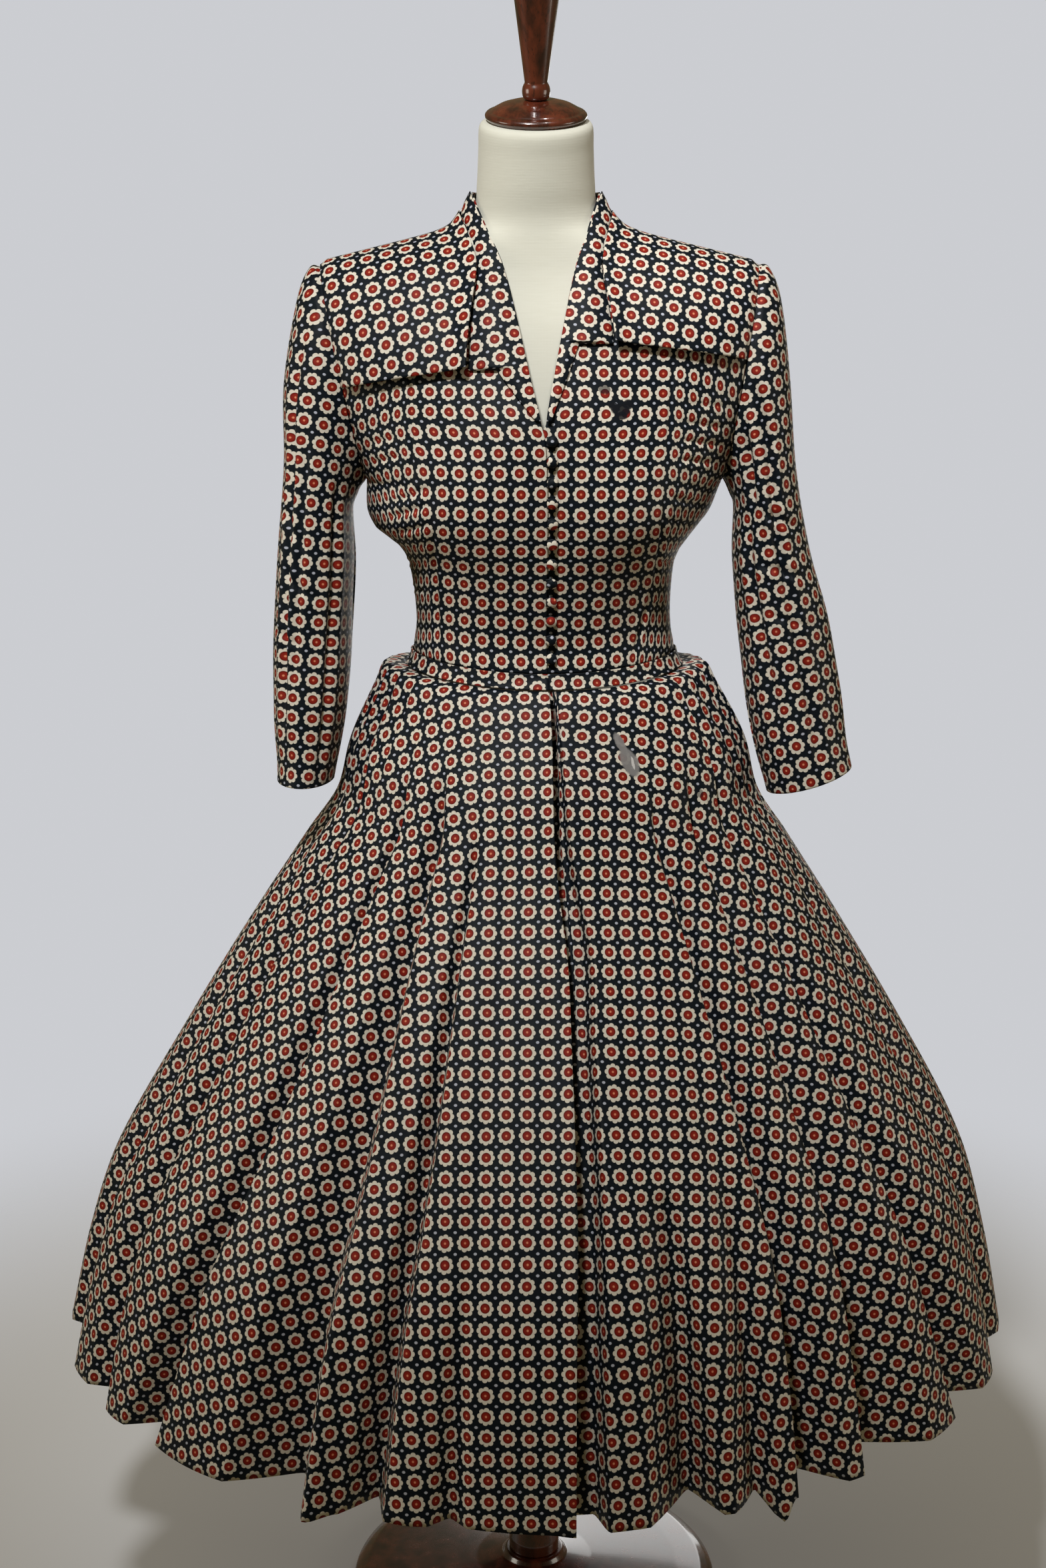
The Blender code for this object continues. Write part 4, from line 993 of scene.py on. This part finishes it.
def make_fronts():
    for side, name in SIDES:
        def height(u, v, place, side=side, name=name):
            x, z = place[..., 0], place[..., 2]
            level = creases(FRONT_CREASES[name], x, z)
            reach = np.maximum(arc(place, 1)[:, -1:] - arc(place, 1), 0.0)
            pucker = PUCKER_DEPTH * wander(v * PUCKER_PITCH, 3 + side) * np.exp(-reach / PUCKER_REACH)
            pucker = pucker * ramp(v, 0.40, 0.50)
            return level + pucker + seam_dip(arc(place, 0)) + seam_dip(reach)

        columns = joined((30, 0.0, 0.20), (78, 0.20, 1.0))
        def relaid(flat, place, side=side, name=name):
            return front_lay(name, side, flat, place)

        piece("bodice_front_" + name + "_cloth", front_surface(side), columns, even(184), side,
              "bodice_front_" + name, height, level=40,
              shift=(0.0150 if side < 0 else 0.0034, 0.0), relay=relaid,
              material=PRINT if side < 0 else MARKED_BODICE)


def make_back():
    def surface(u, v):
        left, right = mirrored(1, bodice(False, u, v)), mirrored(-1, bodice(False, -u, v))
        return np.where((u >= 0)[..., None], left, right)

    def height(u, v, place):
        return seam_dip(arc(place, 0))

    for side, name in SIDES:
        def half(u, v, side=side):
            return mirrored(side, bodice(False, u, v))

        piece("bodice_back_" + name + "_cloth", half, *spread("back"), -side, "bodice_back", height,
              level=30, relay=relaxed)


YOKE_TURN = {"right": 0.0075, "left": 0.0050}     # how far each yoke's inner edge stands up
YOKE_TURN_REACH = 0.07   # how far from that edge it has settled, as a share of the yoke's width
YOKE_FREE = 0.16         # levels above the lower edge over which the yoke comes to lie on the front


def yoke_height(u, v, low, turned):
    free = 1.0 - ramp(v, low, low + YOKE_FREE)
    sewn = ramp(u, 0.72, 1.0)
    flat = LAYER + YOKE_ROLL * ramp(u, 0.0, 0.15) + YOKE_LIFT * free * (1.0 - 0.85 * sewn)
    lifted = turned * np.exp(-(u / YOKE_TURN_REACH) ** 2) * (1.0 - 0.6 * ramp(v, 0.85, 1.0))
    return flat * (1.0 - 0.85 * ramp(u, 0.93, 1.0)) + lifted


def make_yokes():
    for side, name in SIDES:
        low = YOKE_EDGE[name]

        def height(u, v, place, low=low, name=name):
            return yoke_height(u, v, low, YOKE_TURN[name])

        base = stretched(bodice_front(side), fold_share, lambda v: 0.0 * v + 1.0)
        piece("yoke_" + name + "_cloth", base, *spread("yoke", low=low), side,
              "yoke_" + name, height, align=(0, 90 + side * 11))


def lapel_reach(v, low, tail):
    tapered = LAPEL_TIP + (tail - LAPEL_TIP) * (v - LAPEL_LOW) / (low - LAPEL_LOW)
    return tapered + (fold_share(v) - tapered) * ramp(v, low - LAPEL_STEP, low)


def make_lapels():
    for side, name in SIDES:
        low, tail = YOKE_EDGE[name], LAPEL_TAIL[name]

        def reach(v, low=low, tail=tail):
            return lapel_reach(v, low, tail)

        def height(u, v, place, reach=reach):
            roll = np.minimum(LAPEL_ROLL, LAPEL_ROLL * reach(v) / 0.15)
            return LAYER + roll * np.sin(math.pi * np.clip(u, 0.0, 1.0))

        base = stretched(neck_face(side), lambda v: 0.0 * v, reach)
        rows = joined((40, LAPEL_LOW, low - LAPEL_STEP), (8, low - LAPEL_STEP, low), (80, low, 1.0))
        piece("lapel_" + name + "_cloth", base, even(40), rows, side,
              "lapel_" + name, height, align=(0, 90))


def make_collar():
    def surface(u, v):
        u, v = both(u, v)
        level = BACK_NECK_LEVEL + (1.0 - BACK_NECK_LEVEL) * np.abs(u)
        seam = bodice(False, 0.0, level)
        turn = np.abs(u) * math.pi / 2
        top = points(NECK_TIP_X * np.sin(turn), NECK_TIP_X * np.cos(turn), ridge(NECK_TIP_X))
        place = seam + (top - seam) * v[..., None]
        place[..., 0] *= np.where(u >= 0, 1.0, -1.0)
        return sway(place)

    piece("collar_back_cloth", surface, *spread("collar", left=-1.0), -1,
          "collar_back", align=(60, 90))


# ---- sleeves --------------------
def sleeve(side, rows):
    def surface(u, v):
        u, v = both(u, v)
        under_x, under_z, over_x, over_z, middle_y, depth = along(rows, v)
        turn = 2 * math.pi * u
        lift = np.cos(turn)
        place = points(((under_x + over_x) / 2 + (over_x - under_x) / 2 * lift) * side,
                       middle_y - depth * np.sin(turn),
                       (under_z + over_z) / 2 + (over_z - under_z) / 2 * lift)
        return sway(place, lowest=ARMHOLE_LOW)
    return surface


SLEEVE_SPAN = 1.5        # the sleeve's length as a multiple of its girth
SLEEVE_CREASES = {
    # from share of the girth and length in girths to the same, half width in girths, depth in metres
    "right": (
        (0.140, 0.10, 0.150, 1.30, 0.015, 0.0048),
        (0.215, 0.30, 0.200, 1.05, 0.012, 0.0026),
        (0.360, 0.35, 0.330, 1.45, 0.016, 0.0042),
        (0.060, 0.55, 0.240, 0.66, 0.012, 0.0020),
        (0.100, 0.72, 0.290, 0.80, 0.012, 0.0018),
        (0.080, 0.90, 0.230, 0.94, 0.011, 0.0016),
        (-0.260, 0.20, -0.230, 1.30, 0.014, 0.0026),
        (-0.140, 0.60, -0.330, 0.72, 0.012, 0.0020),
    ),
    "left": (
        (0.265, 0.10, 0.225, 0.90, 0.017, 0.0064),
        (0.330, 0.14, 0.345, 0.52, 0.015, 0.0046),
        (0.235, 0.80, 0.205, 1.45, 0.015, 0.0040),
        (0.370, 0.50, 0.330, 1.30, 0.016, 0.0042),
        (0.120, 0.62, 0.300, 0.52, 0.012, 0.0024),
        (0.140, 0.76, 0.330, 0.68, 0.012, 0.0022),
        (0.160, 0.92, 0.310, 0.86, 0.011, 0.0018),
        (-0.250, 0.20, -0.220, 1.30, 0.014, 0.0026),
        (-0.140, 0.66, -0.330, 0.58, 0.012, 0.0020),
    ),
}
SLEEVE_LEAN = {"right": (-13.0, -6.0), "left": (24.0, 24.0)}   # slope of the print's rows, high and low
SLEEVE_AXIS = 0.215
CAP_RIPPLE = 0.0007      # ease puckers below the armhole seam, and how far down they reach
CAP_RIPPLE_REACH = 0.014
SLEEVE_UNEVEN = 0.0009
SLEEVE_COLUMN = 82       # the column of the grid down the middle of what faces the front
SLEEVE_CROWDING = 1.15   # above 1, the rows lie closer together near the shoulder


def make_sleeves():
    for (side, name), rows in zip(SIDES, (SLEEVE_RIGHT, SLEEVE_LEFT)):
        def height(u, v, place, side=side, name=name):
            down = arc(place, 0)
            fold = creases(SLEEVE_CREASES[name], u, v * SLEEVE_SPAN)
            ripple = CAP_RIPPLE * wander(u * 60.0, side) * np.exp(-down / CAP_RIPPLE_REACH)
            return seam_dip(down) + ripple + fold + SLEEVE_UNEVEN * wander(v * 9.0 + u * 4.0, side + 4)

        def lay(place, name=name, side=side):
            high, low = SLEEVE_LEAN[name]
            lean = low + (high - low) * ramp(place[..., 2], 0.98, 1.14)
            slanted = place[..., 2] - (place[..., 0] - side * SLEEVE_AXIS) * np.tan(np.radians(lean))
            return slanted_map(place, SLEEVE_COLUMN, slanted) * np.array([side, 1.0])

        columns, levels = spread("sleeve", left=-0.5, right=0.5)
        piece("sleeve_" + name + "_cloth", sleeve(side, rows), columns, levels ** SLEEVE_CROWDING, side,
              "sleeve_" + name, height, lay=lay,
              relay=relaxed)


# ---- waistband --------------------
BAND_ROLL, BAND_ROLL_REACH = 0.0011, 0.0014       # how far the band stands up, and within what of its edges
BAND_UNEVEN = (0.0005, 0.0004)                    # fine and coarse unevenness


def make_waistband():
    def surface(u, v):
        u, v = both(u, v)
        turn = BAND_CLOSURE + 360.0 * u
        angle = (turn + 180.0) % 360.0 - 180.0
        share = np.abs(angle) / 90.0
        side = np.where(angle >= 0, 1.0, -1.0)
        front = bodice(True, np.minimum(share, 1.0), 0.0)
        back = bodice(False, np.clip(2.0 - share, 0.0, 1.0), 0.0)
        above = np.where((share <= 1.0)[..., None], front, back)
        above[..., 0] *= side
        below = bell(angle, 0.0 * angle)
        below[..., 2] = above[..., 2] - BAND_HEIGHT
        place = above + (below - above) * v[..., None]
        flat = unit(points(place[..., 0], place[..., 1], 0.0))
        return sway(place + flat * BAND_PROUD)

    def height(u, v, place):
        edge = np.minimum(v, 1.0 - v) * BAND_HEIGHT
        roll = BAND_ROLL * (1.0 - np.exp(-edge / BAND_ROLL_REACH))
        fine, coarse = BAND_UNEVEN
        return roll + fine * wander(u * 120.0, 2) + coarse * wander(u * 31.0 + v * 3.0, 5)

    piece("waistband_cloth", surface, *spread("waistband"), 1,
          "waistband", height, align=(0, -90))


# ---- skirt --------------------
def bell(angle, v):
    side_x, side_z, front_y, front_z, back_y, back_z = along(SKIRT_ROWS, v)
    turn = np.radians(angle)
    ahead = np.cos(turn) > 0
    reach, low = np.where(ahead, front_y, back_y), np.where(ahead, front_z, back_z)
    share = np.sin(turn) ** 2
    return points(side_x * np.sin(turn), -reach * np.cos(turn), side_z * share + low * (1 - share))


def opening_edge(v):
    return along(OPENING_EDGE, v)[0]


def fold_lines(v):
    """Angle, two half widths and depth of every fold at levels, in order round the skirt."""
    lines = []
    for top, middle, hem, start, depth, before, after in FOLDS:
        grown = np.maximum(0.0, (v - start) / (1.0 - start)) ** FOLD_GROWTH
        share = FOLD_START_WIDTH + (1.0 - FOLD_START_WIDTH) * v
        angle = top * (1 - v) * (1 - 2 * v) + middle * 4 * v * (1 - v) + hem * v * (2 * v - 1)
        lines.append((angle, before * share, after * share, depth * grown * FOLD_SCALE))
    return lines


def folded(angle, v, under):
    """Skirt with its folds; under is the gore whose edge passes beneath the opening."""
    angle, v = both(angle, v)
    centre = bell(angle, v)
    depth, shift = np.zeros_like(v), np.zeros_like(v)
    lines = fold_lines(v)
    wrapped = (angle + 180.0) % 360.0 - 180.0
    first, last = lines[0], lines[-1]
    for line_angle, width, other, line_depth in lines + [(first[0] + 360.0, *first[1:]),
                                                         (last[0] - 360.0, *last[1:])]:
        off = (wrapped - line_angle) / np.where(wrapped < line_angle, width, other)
        near = np.maximum(1.0 - np.sqrt(off * off + FOLD_BLUNT ** 2), 0.0)
        depth += line_depth * near
    bounds = [last[0] - 360.0] + [line[0] for line in lines] + [first[0] + 360.0]
    for before, after in zip(bounds, bounds[1:]):
        share = np.clip((wrapped - before) / (after - before), 0.0, 1.0)
        depth -= LOBE_RISE * v * np.sin(math.pi * share) * np.minimum(1.0, (after - before) / LOBE_SPAN)
    if not under:
        depth -= EDGE_RISE * ramp(v, 0.0, 0.06) * np.exp(-((wrapped - opening_edge(v)) / EDGE_SPAN) ** 2)
    if under:
        past = (wrapped - opening_edge(v)) / along(OPENING_EDGE, v)[1]
        sunken = 1.0 - ramp(past, OPENING_WALL[0], OPENING_WALL[-1])
        grown = np.clip(v / OPENING_FULL, 0.0, 1.0) ** 0.6
        strip = (UNDERLAP_DEPTH + (OPENING_DEPTH - UNDERLAP_DEPTH) * grown) * sunken
        slot = (wrapped - opening_edge(v)) / (1.0 - 0.6 * v)
        slot = SLOT_DEPTH * ramp(v, 0.0, 0.05) * (1.0 - ramp(slot, SLOT[0], SLOT[1]))
        depth += np.maximum(strip, slot)
    beside = ramp(np.abs(wrapped), *GATHER_ANGLES) * (1.0 - ramp(v, *GATHER_LEVELS)) * ramp(v, 0.0, 0.03)
    depth += GATHER_DEPTH * beside * wander(wrapped * GATHER_PITCH, 3)
    for lobe, start, rise, drop, width in LOBES:
        near = np.cos(math.pi / 2 * np.minimum(1.0, np.abs(wrapped - lobe) / width)) ** 2
        near = near * ramp(v, start, 1.0)
        depth -= rise * near
        shift -= drop * near
    outward = points(np.sin(np.radians(angle)), -np.cos(np.radians(angle)), 0.0)
    place = centre - outward * depth[..., None]
    place[..., 2] += shift
    return sway(place)


GRAIN = {
    # angle where the print's columns run straight down, their lean on the flat cut, shift of the print
    "skirt_front_right": (-7.0, -94, (-0.0050, 0.0009)),
    "skirt_front_left": (6.0, -94, (0.0035, 0.0056)),
    "skirt_back_left": (92.0, -90, (0.0, 0.0)),
    "skirt_back_right": (-92.0, -90, (0.0, 0.0)),
}
GRAIN_STEADY = 0.7       # how nearly a column of the print keeps to one line of the flat cut
GORES = (
    # name, start angle, end angle at a level, passes beneath the opening's edge
    ("skirt_back_right", lambda v: 0.0 * v - 180.0, lambda v: 0.0 * v - 88.0, False),
    ("skirt_front_right", lambda v: 0.0 * v - 88.0, opening_edge, False),
    ("skirt_front_left", lambda v: opening_edge(v) - OPENING_LAP, lambda v: 0.0 * v + 88.0, True),
    ("skirt_back_left", lambda v: 0.0 * v + 88.0, lambda v: 0.0 * v + 180.0, False),
)


def gore_grid(start, end, under, rows):
    """Angles and levels of a gore's grid, its columns following the folds."""
    marks = [start(rows)]
    if under:
        edge, width = along(OPENING_EDGE, rows)
        marks += [edge + turn * (1.0 - 0.6 * rows) for turn in SLOT]
        marks += [edge + share * width for share in OPENING_WALL]
    for line_angle, before, after, _ in fold_lines(rows):
        if start(np.array([0.5]))[0] < line_angle[len(rows) // 2] < end(np.array([0.5]))[0]:
            marks += [line_angle - before, line_angle, line_angle + after]
    marks.append(end(rows))
    marks = np.stack(marks, 1)
    columns = []
    for before, after in zip(marks.T, marks.T[1:]):
        count = int(np.clip(round(abs(after[-1] - before[-1]) / COLUMN_ANGLE), 3, 24))
        columns += [before + (after - before) * k / count for k in range(count)]
    angle = np.stack(columns + [marks[:, -1]], 1)
    return angle, np.repeat(rows[:, None], angle.shape[1], 1)


def make_skirt():
    rows = joined((30, 0.0, 0.16), (96, 0.16, 1.0))
    for name, start, end, under in GORES:
        angle, v = gore_grid(start, end, under, rows)

        def surface(a, b, under=under):
            return folded(a, b, under)

        place = surface(angle, v)
        grain, lean, shift = GRAIN[name]
        slant = SLANT_START + arc(place, 0)
        turn = arc(place, 1) / slant
        datum = np.array([np.interp(grain, *pair) for pair in zip(angle, turn)])
        turn = turn - datum[:, None]
        far = 0 if name.endswith("right") else -1
        fullness = turn[:, far] / np.radians(angle[:, far] - grain)
        steady = fullness[len(rows) // 3:].mean() / fullness
        turn = turn * (1.0 + GRAIN_STEADY * (steady - 1.0))[:, None]
        guess = np.stack([slant * np.sin(turn), -slant * np.cos(turn)], -1)
        column = int(np.argmin(np.abs(angle[-1] - grain)))
        flat = aligned(flattened(place, guess), (len(rows) // 3, column), (-1, column), lean)
        flat = flat + np.array(shift)
        item = shell(name + "_cloth", place, flat, MARKED_SKIRT if name == "skirt_front_left" else PRINT)
        item.data.flip_normals()
        cut(item, name + "_cloth")
        ride(item, "printed_sateen", name)


# ---- buttons and loops --------------------
def solid_mesh(name, vertices, faces, material, sharp=None):
    mesh = bpy.data.meshes.new(name)
    mesh.from_pydata(vertices, [], faces)
    mesh.validate()
    mesh.shade_smooth()
    if sharp:
        mesh.set_sharp_from_angle(angle=math.radians(sharp))
    mesh.materials.append(material)
    return linked(name, mesh)


def lathe(name, profile, steps, material, frame_of, sharp):
    """A turned mesh from (radius, height) pairs, top to bottom; frame_of is (origin, right, up, axis)."""
    origin, right, up, axis = (np.array(part, float) for part in frame_of)
    vertices, rings = [], []
    for radius, height in profile:
        if radius < 1e-9:
            rings.append([len(vertices)])
            vertices.append(origin + axis * height)
            continue
        rings.append(list(range(len(vertices), len(vertices) + steps)))
        for k in range(steps):
            turn = 2 * math.pi * k / steps
            vertices.append(origin + (right * math.cos(turn) + up * math.sin(turn)) * radius + axis * height)
    faces = []
    for top, low in zip(rings, rings[1:]):
        for k in range(steps):
            after = (k + 1) % steps
            corners = [top[k % len(top)], low[k % len(low)], low[after % len(low)], top[after % len(top)]]
            faces.append(list(dict.fromkeys(corners)))
    return solid_mesh(name, [v.tolist() for v in vertices], faces, material, sharp)


def eased(corners, radius):
    """A profile with each inner corner rounded off to about a radius."""
    corners = [np.array(c, float) for c in corners]
    out = [corners[0]]
    for before, here, after in zip(corners, corners[1:], corners[2:]):
        back, ahead = before - here, after - here
        cut = min(radius, 0.45 * np.linalg.norm(back), 0.45 * np.linalg.norm(ahead))
        start, end = here + back / np.linalg.norm(back) * cut, here + ahead / np.linalg.norm(ahead) * cut
        for k in range(EASE_STEPS + 1):
            t = k / EASE_STEPS
            out.append((1 - t) ** 2 * start + 2 * t * (1 - t) * here + t * t * end)
    out.append(corners[-1])
    return [tuple(p) for p in out]


def button_seats():
    """Point, right, up and outward directions of every button's place on the stand."""
    surface = bodice_front(1)
    v = even(2000, 0.0, 0.62)
    line = surface(centre_share(BUTTON_X, v), v)
    seats = []
    for number in range(BUTTON_COUNT):
        height = BUTTON_TOP - number * BUTTON_PITCH
        spot = np.array([np.interp(height, line[:, 2], line[:, k]) for k in range(3)])
        above = np.array([np.interp(height + 0.006, line[:, 2], line[:, k]) for k in range(3)])
        up = unit(above - spot)
        right = np.array([1.0, 0.0, 0.0])
        out = np.cross(right, up)
        seats.append((spot, right, np.cross(out, right), out))
    return seats


def make_buttons():
    foot = UNDERLAP_DEPTH + BUTTON_LIFT
    turns = even(10, 0.0, math.pi / 2)
    dome = [(BUTTON_RADIUS * math.sin(t), foot + BUTTON_RIM + (BUTTON_DOME - BUTTON_RIM) * math.cos(t))
            for t in turns]
    dome += [(0.99 * BUTTON_RADIUS, foot + BUTTON_RIM / 2), (0.93 * BUTTON_RADIUS, foot),
             (SHANK_RADIUS, foot), (SHANK_RADIUS, GAP), (0.0, GAP)]
    for number, seat in enumerate(button_seats()):
        name = "button_%02d" % (number + 1)
        item = lathe(name + "_dome", dome, 32, PRINT, seat, sharp=60)
        spot, right, up, _ = seat
        layer = item.data.uv_layers.new(name="cloth")
        # where on the print each button happens to be cut
        chance = np.array([math.sin(number * 12.9898) * 43758.5453 % 1.0,
                           math.sin(number * 78.233) * 12543.123 % 1.0])
        for loop in item.data.loops:
            place = np.array(item.data.vertices[loop.vertex_index].co) - spot
            layer.data[loop.index].uv = tuple(np.array([place @ right, place @ up]) / PITCH + chance)
        ride(item, "printed_sateen", name)


def tube(path, vertices, faces):
    """Adds a round cord along a path of points to lists of vertices and faces."""
    path = np.array(path, float)
    ahead = unit(np.gradient(path, axis=0))
    start = len(vertices)
    reference = np.array([0.0, -1.0, 0.0])
    for spot, along_path in zip(path, ahead):
        right = np.cross(along_path, reference)
        right = right / np.linalg.norm(right)
        up = np.cross(right, along_path)
        for k in range(CORD_SIDES):
            turn = 2 * math.pi * k / CORD_SIDES
            vertices.append((spot + (right * math.cos(turn) + up * math.sin(turn)) * CORD_RADIUS).tolist())
    for j in range(len(path) - 1):
        for k in range(CORD_SIDES):
            after = (k + 1) % CORD_SIDES
            a, b = start + j * CORD_SIDES, start + (j + 1) * CORD_SIDES
            faces.append([a + k, a + after, b + after, b + k])
    faces.append([start + k for k in reversed(range(CORD_SIDES))])
    faces.append([start + (len(path) - 1) * CORD_SIDES + k for k in range(CORD_SIDES)])


def make_loops():
    """Rouleau loops from the overlapping edge round each button's shank."""
    vertices, faces = [], []
    for spot, right, up, out in button_seats():
        edge = CLOSURE_EDGE - BUTTON_X
        path = []
        for t in even(21, -1.0, 1.0):
            turn = t * LOOP_TURN
            reach = np.array([math.cos(turn), math.sin(turn)]) * LOOP_REACH
            path.append(spot + right * reach[0] + up * reach[1] + out * (UNDERLAP_DEPTH - 0.0002))
        lead, last = ([spot + right * (edge - 0.0010) + up * spread + out * (UNDERLAP_DEPTH - 0.0001)]
                      for spread in (-LOOP_SPREAD, LOOP_SPREAD))
        tube(lead + path + last, vertices, faces)
    item = solid_mesh("button_loops", vertices, faces, ROULEAU)
    ride(item, "printed_sateen")


# ---- form and stand --------------------
def make_form_body():
    heights = joined((5, 0.800, 0.806), (60, 0.806, 1.34), (50, 1.34, 1.4765), (8, 1.4765, NECK_TOP))
    half, front, back, middle, tilt = (value[:, None] for value in along(FORM_ROWS, heights))
    turn = even(97, 0.0, 2 * math.pi)[None, :-1]
    reach = np.where(np.cos(turn) > 0, front, back)
    y = -reach * np.cos(turn)
    upright = points(half * np.sin(turn), y + middle, heights[:, None] + y * np.tan(np.radians(tilt)))
    swayed = sway(upright)
    share = ramp(heights, FORM_ROWS[0][0], 1.0)[:, None, None]
    place = upright + (swayed - upright) * share
    tall, wide = place.shape[:2]
    index = np.arange(tall * wide).reshape(tall, wide)
    ahead = np.roll(index, -1, 1)
    faces = np.stack([index[:-1], ahead[:-1], ahead[1:], index[1:]], -1).reshape(-1, 4).tolist()
    faces.append(index[0, ::-1].tolist())
    faces.append(index[-1].tolist())
    item = solid_mesh("form_body_cover", place.reshape(-1, 3).tolist(), faces, LINEN, sharp=60)
    ride(item, "form_cloth", "form_body")


def make_stand():
    base = lathe("base_turned", eased((
        (0.0, BASE_HEIGHT), (0.030, BASE_HEIGHT), (0.034, 0.036), (0.060, 0.031), (0.150, 0.023),
        (0.176, 0.020), (0.184, 0.016), (BASE_RADIUS, 0.012), (BASE_RADIUS, 0.003),
        (0.187, 0.0), (0.0, 0.0)), 0.002), 96, WOOD, UPRIGHT, 40)
    ride(base, "dark_wood", "base")
    foot, top = BASE_HEIGHT + GAP, FORM_ROWS[0][0] - GAP
    pole = lathe("pole_turned", eased((
        (0.0, top), (0.026, top), (0.026, top - 0.018), (0.020, top - 0.026), (POLE_RADIUS, top - 0.040),
        (POLE_RADIUS, foot + 0.040), (0.021, foot + 0.026), (0.026, foot + 0.012),
        (0.026, foot), (0.0, foot)), 0.002), 64, WOOD, UPRIGHT, 40)
    ride(pole, "dark_wood", "pole")
    neck = FORM_ROWS[-1]
    lean = (np.array([0.0, neck[4], neck[0] + GAP / math.cos(NECK_TILT)]), (1.0, 0.0, 0.0),
            (0.0, math.cos(NECK_TILT), math.sin(NECK_TILT)), (0.0, -math.sin(NECK_TILT), math.cos(NECK_TILT)))
    cap = lathe("neck_cap_turned", eased((
        (0.0, 0.0180), (0.0110, 0.0178), (0.0220, 0.0164), (0.0320, 0.0136), (0.0390, 0.0098),
        (0.0405, 0.0082), (0.0440, 0.0076), (0.0460, 0.0052), (0.0458, 0.0030), (0.0435, 0.0),
        (0.0, 0.0)), 0.0016), 96, WOOD, lean, 40)
    ride(cap, "dark_wood", "neck_cap")
    finial = lathe("finial_turned", eased((
        (0.0, 0.1150), (0.0175, 0.1150), (0.0205, 0.1125), (0.0200, 0.1060), (0.0103, 0.0330),
        (0.0106, 0.0320), (0.0122, 0.0290), (0.0127, 0.0250), (0.0122, 0.0210), (0.0104, 0.0180 + GAP),
        (0.0, 0.0180 + GAP)), 0.0016), 96, WOOD, lean, 40)
    ride(finial, "dark_wood", "finial")


# ---- camera, light and floor --------------------
def make_camera():
    data = bpy.data.cameras.new("camera")
    data.lens = 50.0
    data.sensor_width = 36.0
    item = linked("camera", data)
    item.location = (-0.0117, -2.05, 1.361)
    item.rotation_euler = (math.radians(90 - CAMERA_DIP), 0.0, 0.0)
    bpy.context.scene.camera = item


def lamp(kind, name, place, target, power, colour, **settings):
    """A light of a kind at a place, pointed at a target."""
    data = bpy.data.lights.new(name, kind)
    for key, value in settings.items():
        setattr(data, key, value)
    data.energy = power
    data.color = colour
    item = linked(name, data)
    item.location = place
    item.rotation_euler = (Vector(target) - Vector(place)).to_track_quat("-Z", "Y").to_euler()


def area_light(name, place, target, size, power, colour):
    lamp("AREA", name, place, target, power, colour, shape="RECTANGLE", size=size, size_y=size)


def spot_light(name, place, target, width, radius, power, colour):
    lamp("SPOT", name, place, target, power, colour, spot_size=math.radians(width), spot_blend=1.0,
         shadow_soft_size=radius)


def make_world():
    world = bpy.data.worlds.new("studio")
    world.use_nodes = True
    shade = world.node_tree.nodes["Background"]
    shade.inputs["Color"].default_value = (1.0, 0.82, 0.44, 1.0)
    shade.inputs["Strength"].default_value = 0.125
    bpy.context.scene.world = world
    bpy.context.scene.view_settings.view_transform = "Standard"


def staged(item):
    """A piece of the studio that is seen but casts no light or shadow."""
    for way in ("diffuse", "glossy", "transmission", "volume_scatter", "shadow"):
        setattr(item, "visible_" + way, False)


def make_dome():
    """Pale surroundings a long way off."""
    n = Nodes("surroundings")
    glow = n.make("ShaderNodeEmission", {"Color": (*SURROUNDINGS, 1.0), "Strength": 1.0})
    n.tree.links.new(glow.outputs[0], n.tree.nodes["Material Output"].inputs["Surface"])
    turns = even(17, -math.pi / 2, math.pi / 2)
    profile = [(DOME_RADIUS * math.cos(t), -DOME_RADIUS * math.sin(t)) for t in turns]
    profile[0], profile[-1] = (0.0, DOME_RADIUS), (0.0, -DOME_RADIUS)
    staged(lathe("surroundings", profile, 32, n.material, UPRIGHT, None))


def make_floor():
    """Pale floor that fades into the surroundings."""
    n = Nodes("floor")
    away = n.vector("LENGTH", n.vector("MULTIPLY", n.place(), (1.0, 1.0, 0.0)))
    n.finished({"Base Color": (0.72, 0.72, 0.74, 1.0), "Roughness": 0.85})
    clear = n.tree.nodes.new("ShaderNodeBsdfTransparent")
    blend = n.make("ShaderNodeMixShader", {"Fac": n.step(away, *FLOOR_FADE)})
    n.tree.links.new(clear.outputs[0], blend.inputs[1])
    n.tree.links.new(n.shader.outputs[0], blend.inputs[2])
    n.tree.links.new(blend.outputs[0], n.tree.nodes["Material Output"].inputs["Surface"])
    turn = even(FLOOR_SIDES + 1, 0.0, 2 * math.pi)[:-1]
    ring = [(FLOOR_RADIUS * math.cos(t), FLOOR_RADIUS * math.sin(t), -0.0005) for t in turn]
    item = solid_mesh("floor", ring, [list(range(FLOOR_SIDES))], n.material)
    item.visible_diffuse = False


make_fronts()
make_back()
make_yokes()
make_lapels()
make_collar()
make_sleeves()
make_waistband()
make_skirt()
make_buttons()
make_loops()
make_form_body()
make_stand()
make_camera()
make_world()
make_dome()
make_floor()
spot_light("key", (-0.46, -1.46, 2.84), (-0.02, 0.0, 1.18), 50.0, 0.14, 196.0, (0.98, 0.99, 0.98))
area_light("left", (-2.3, -0.5, 1.4), (0.0, 0.0, 0.70), 0.9, 13.0, (1.0, 0.94, 0.82))
area_light("back", (0.5, 2.6, 0.9), (0.0, 0.0, 0.85), 1.5, 18.0, (1.0, 1.0, 1.0))
area_light("right", (2.3, -0.4, 1.1), (0.10, 0.0, 0.65), 0.9, 8.0, (1.0, 0.94, 0.82))
spot_light("shoulder", (0.40, -0.70, 2.85), (0.125, -0.05, 1.33), 14.0, 0.04, 46.0, (1.0, 0.97, 0.94))
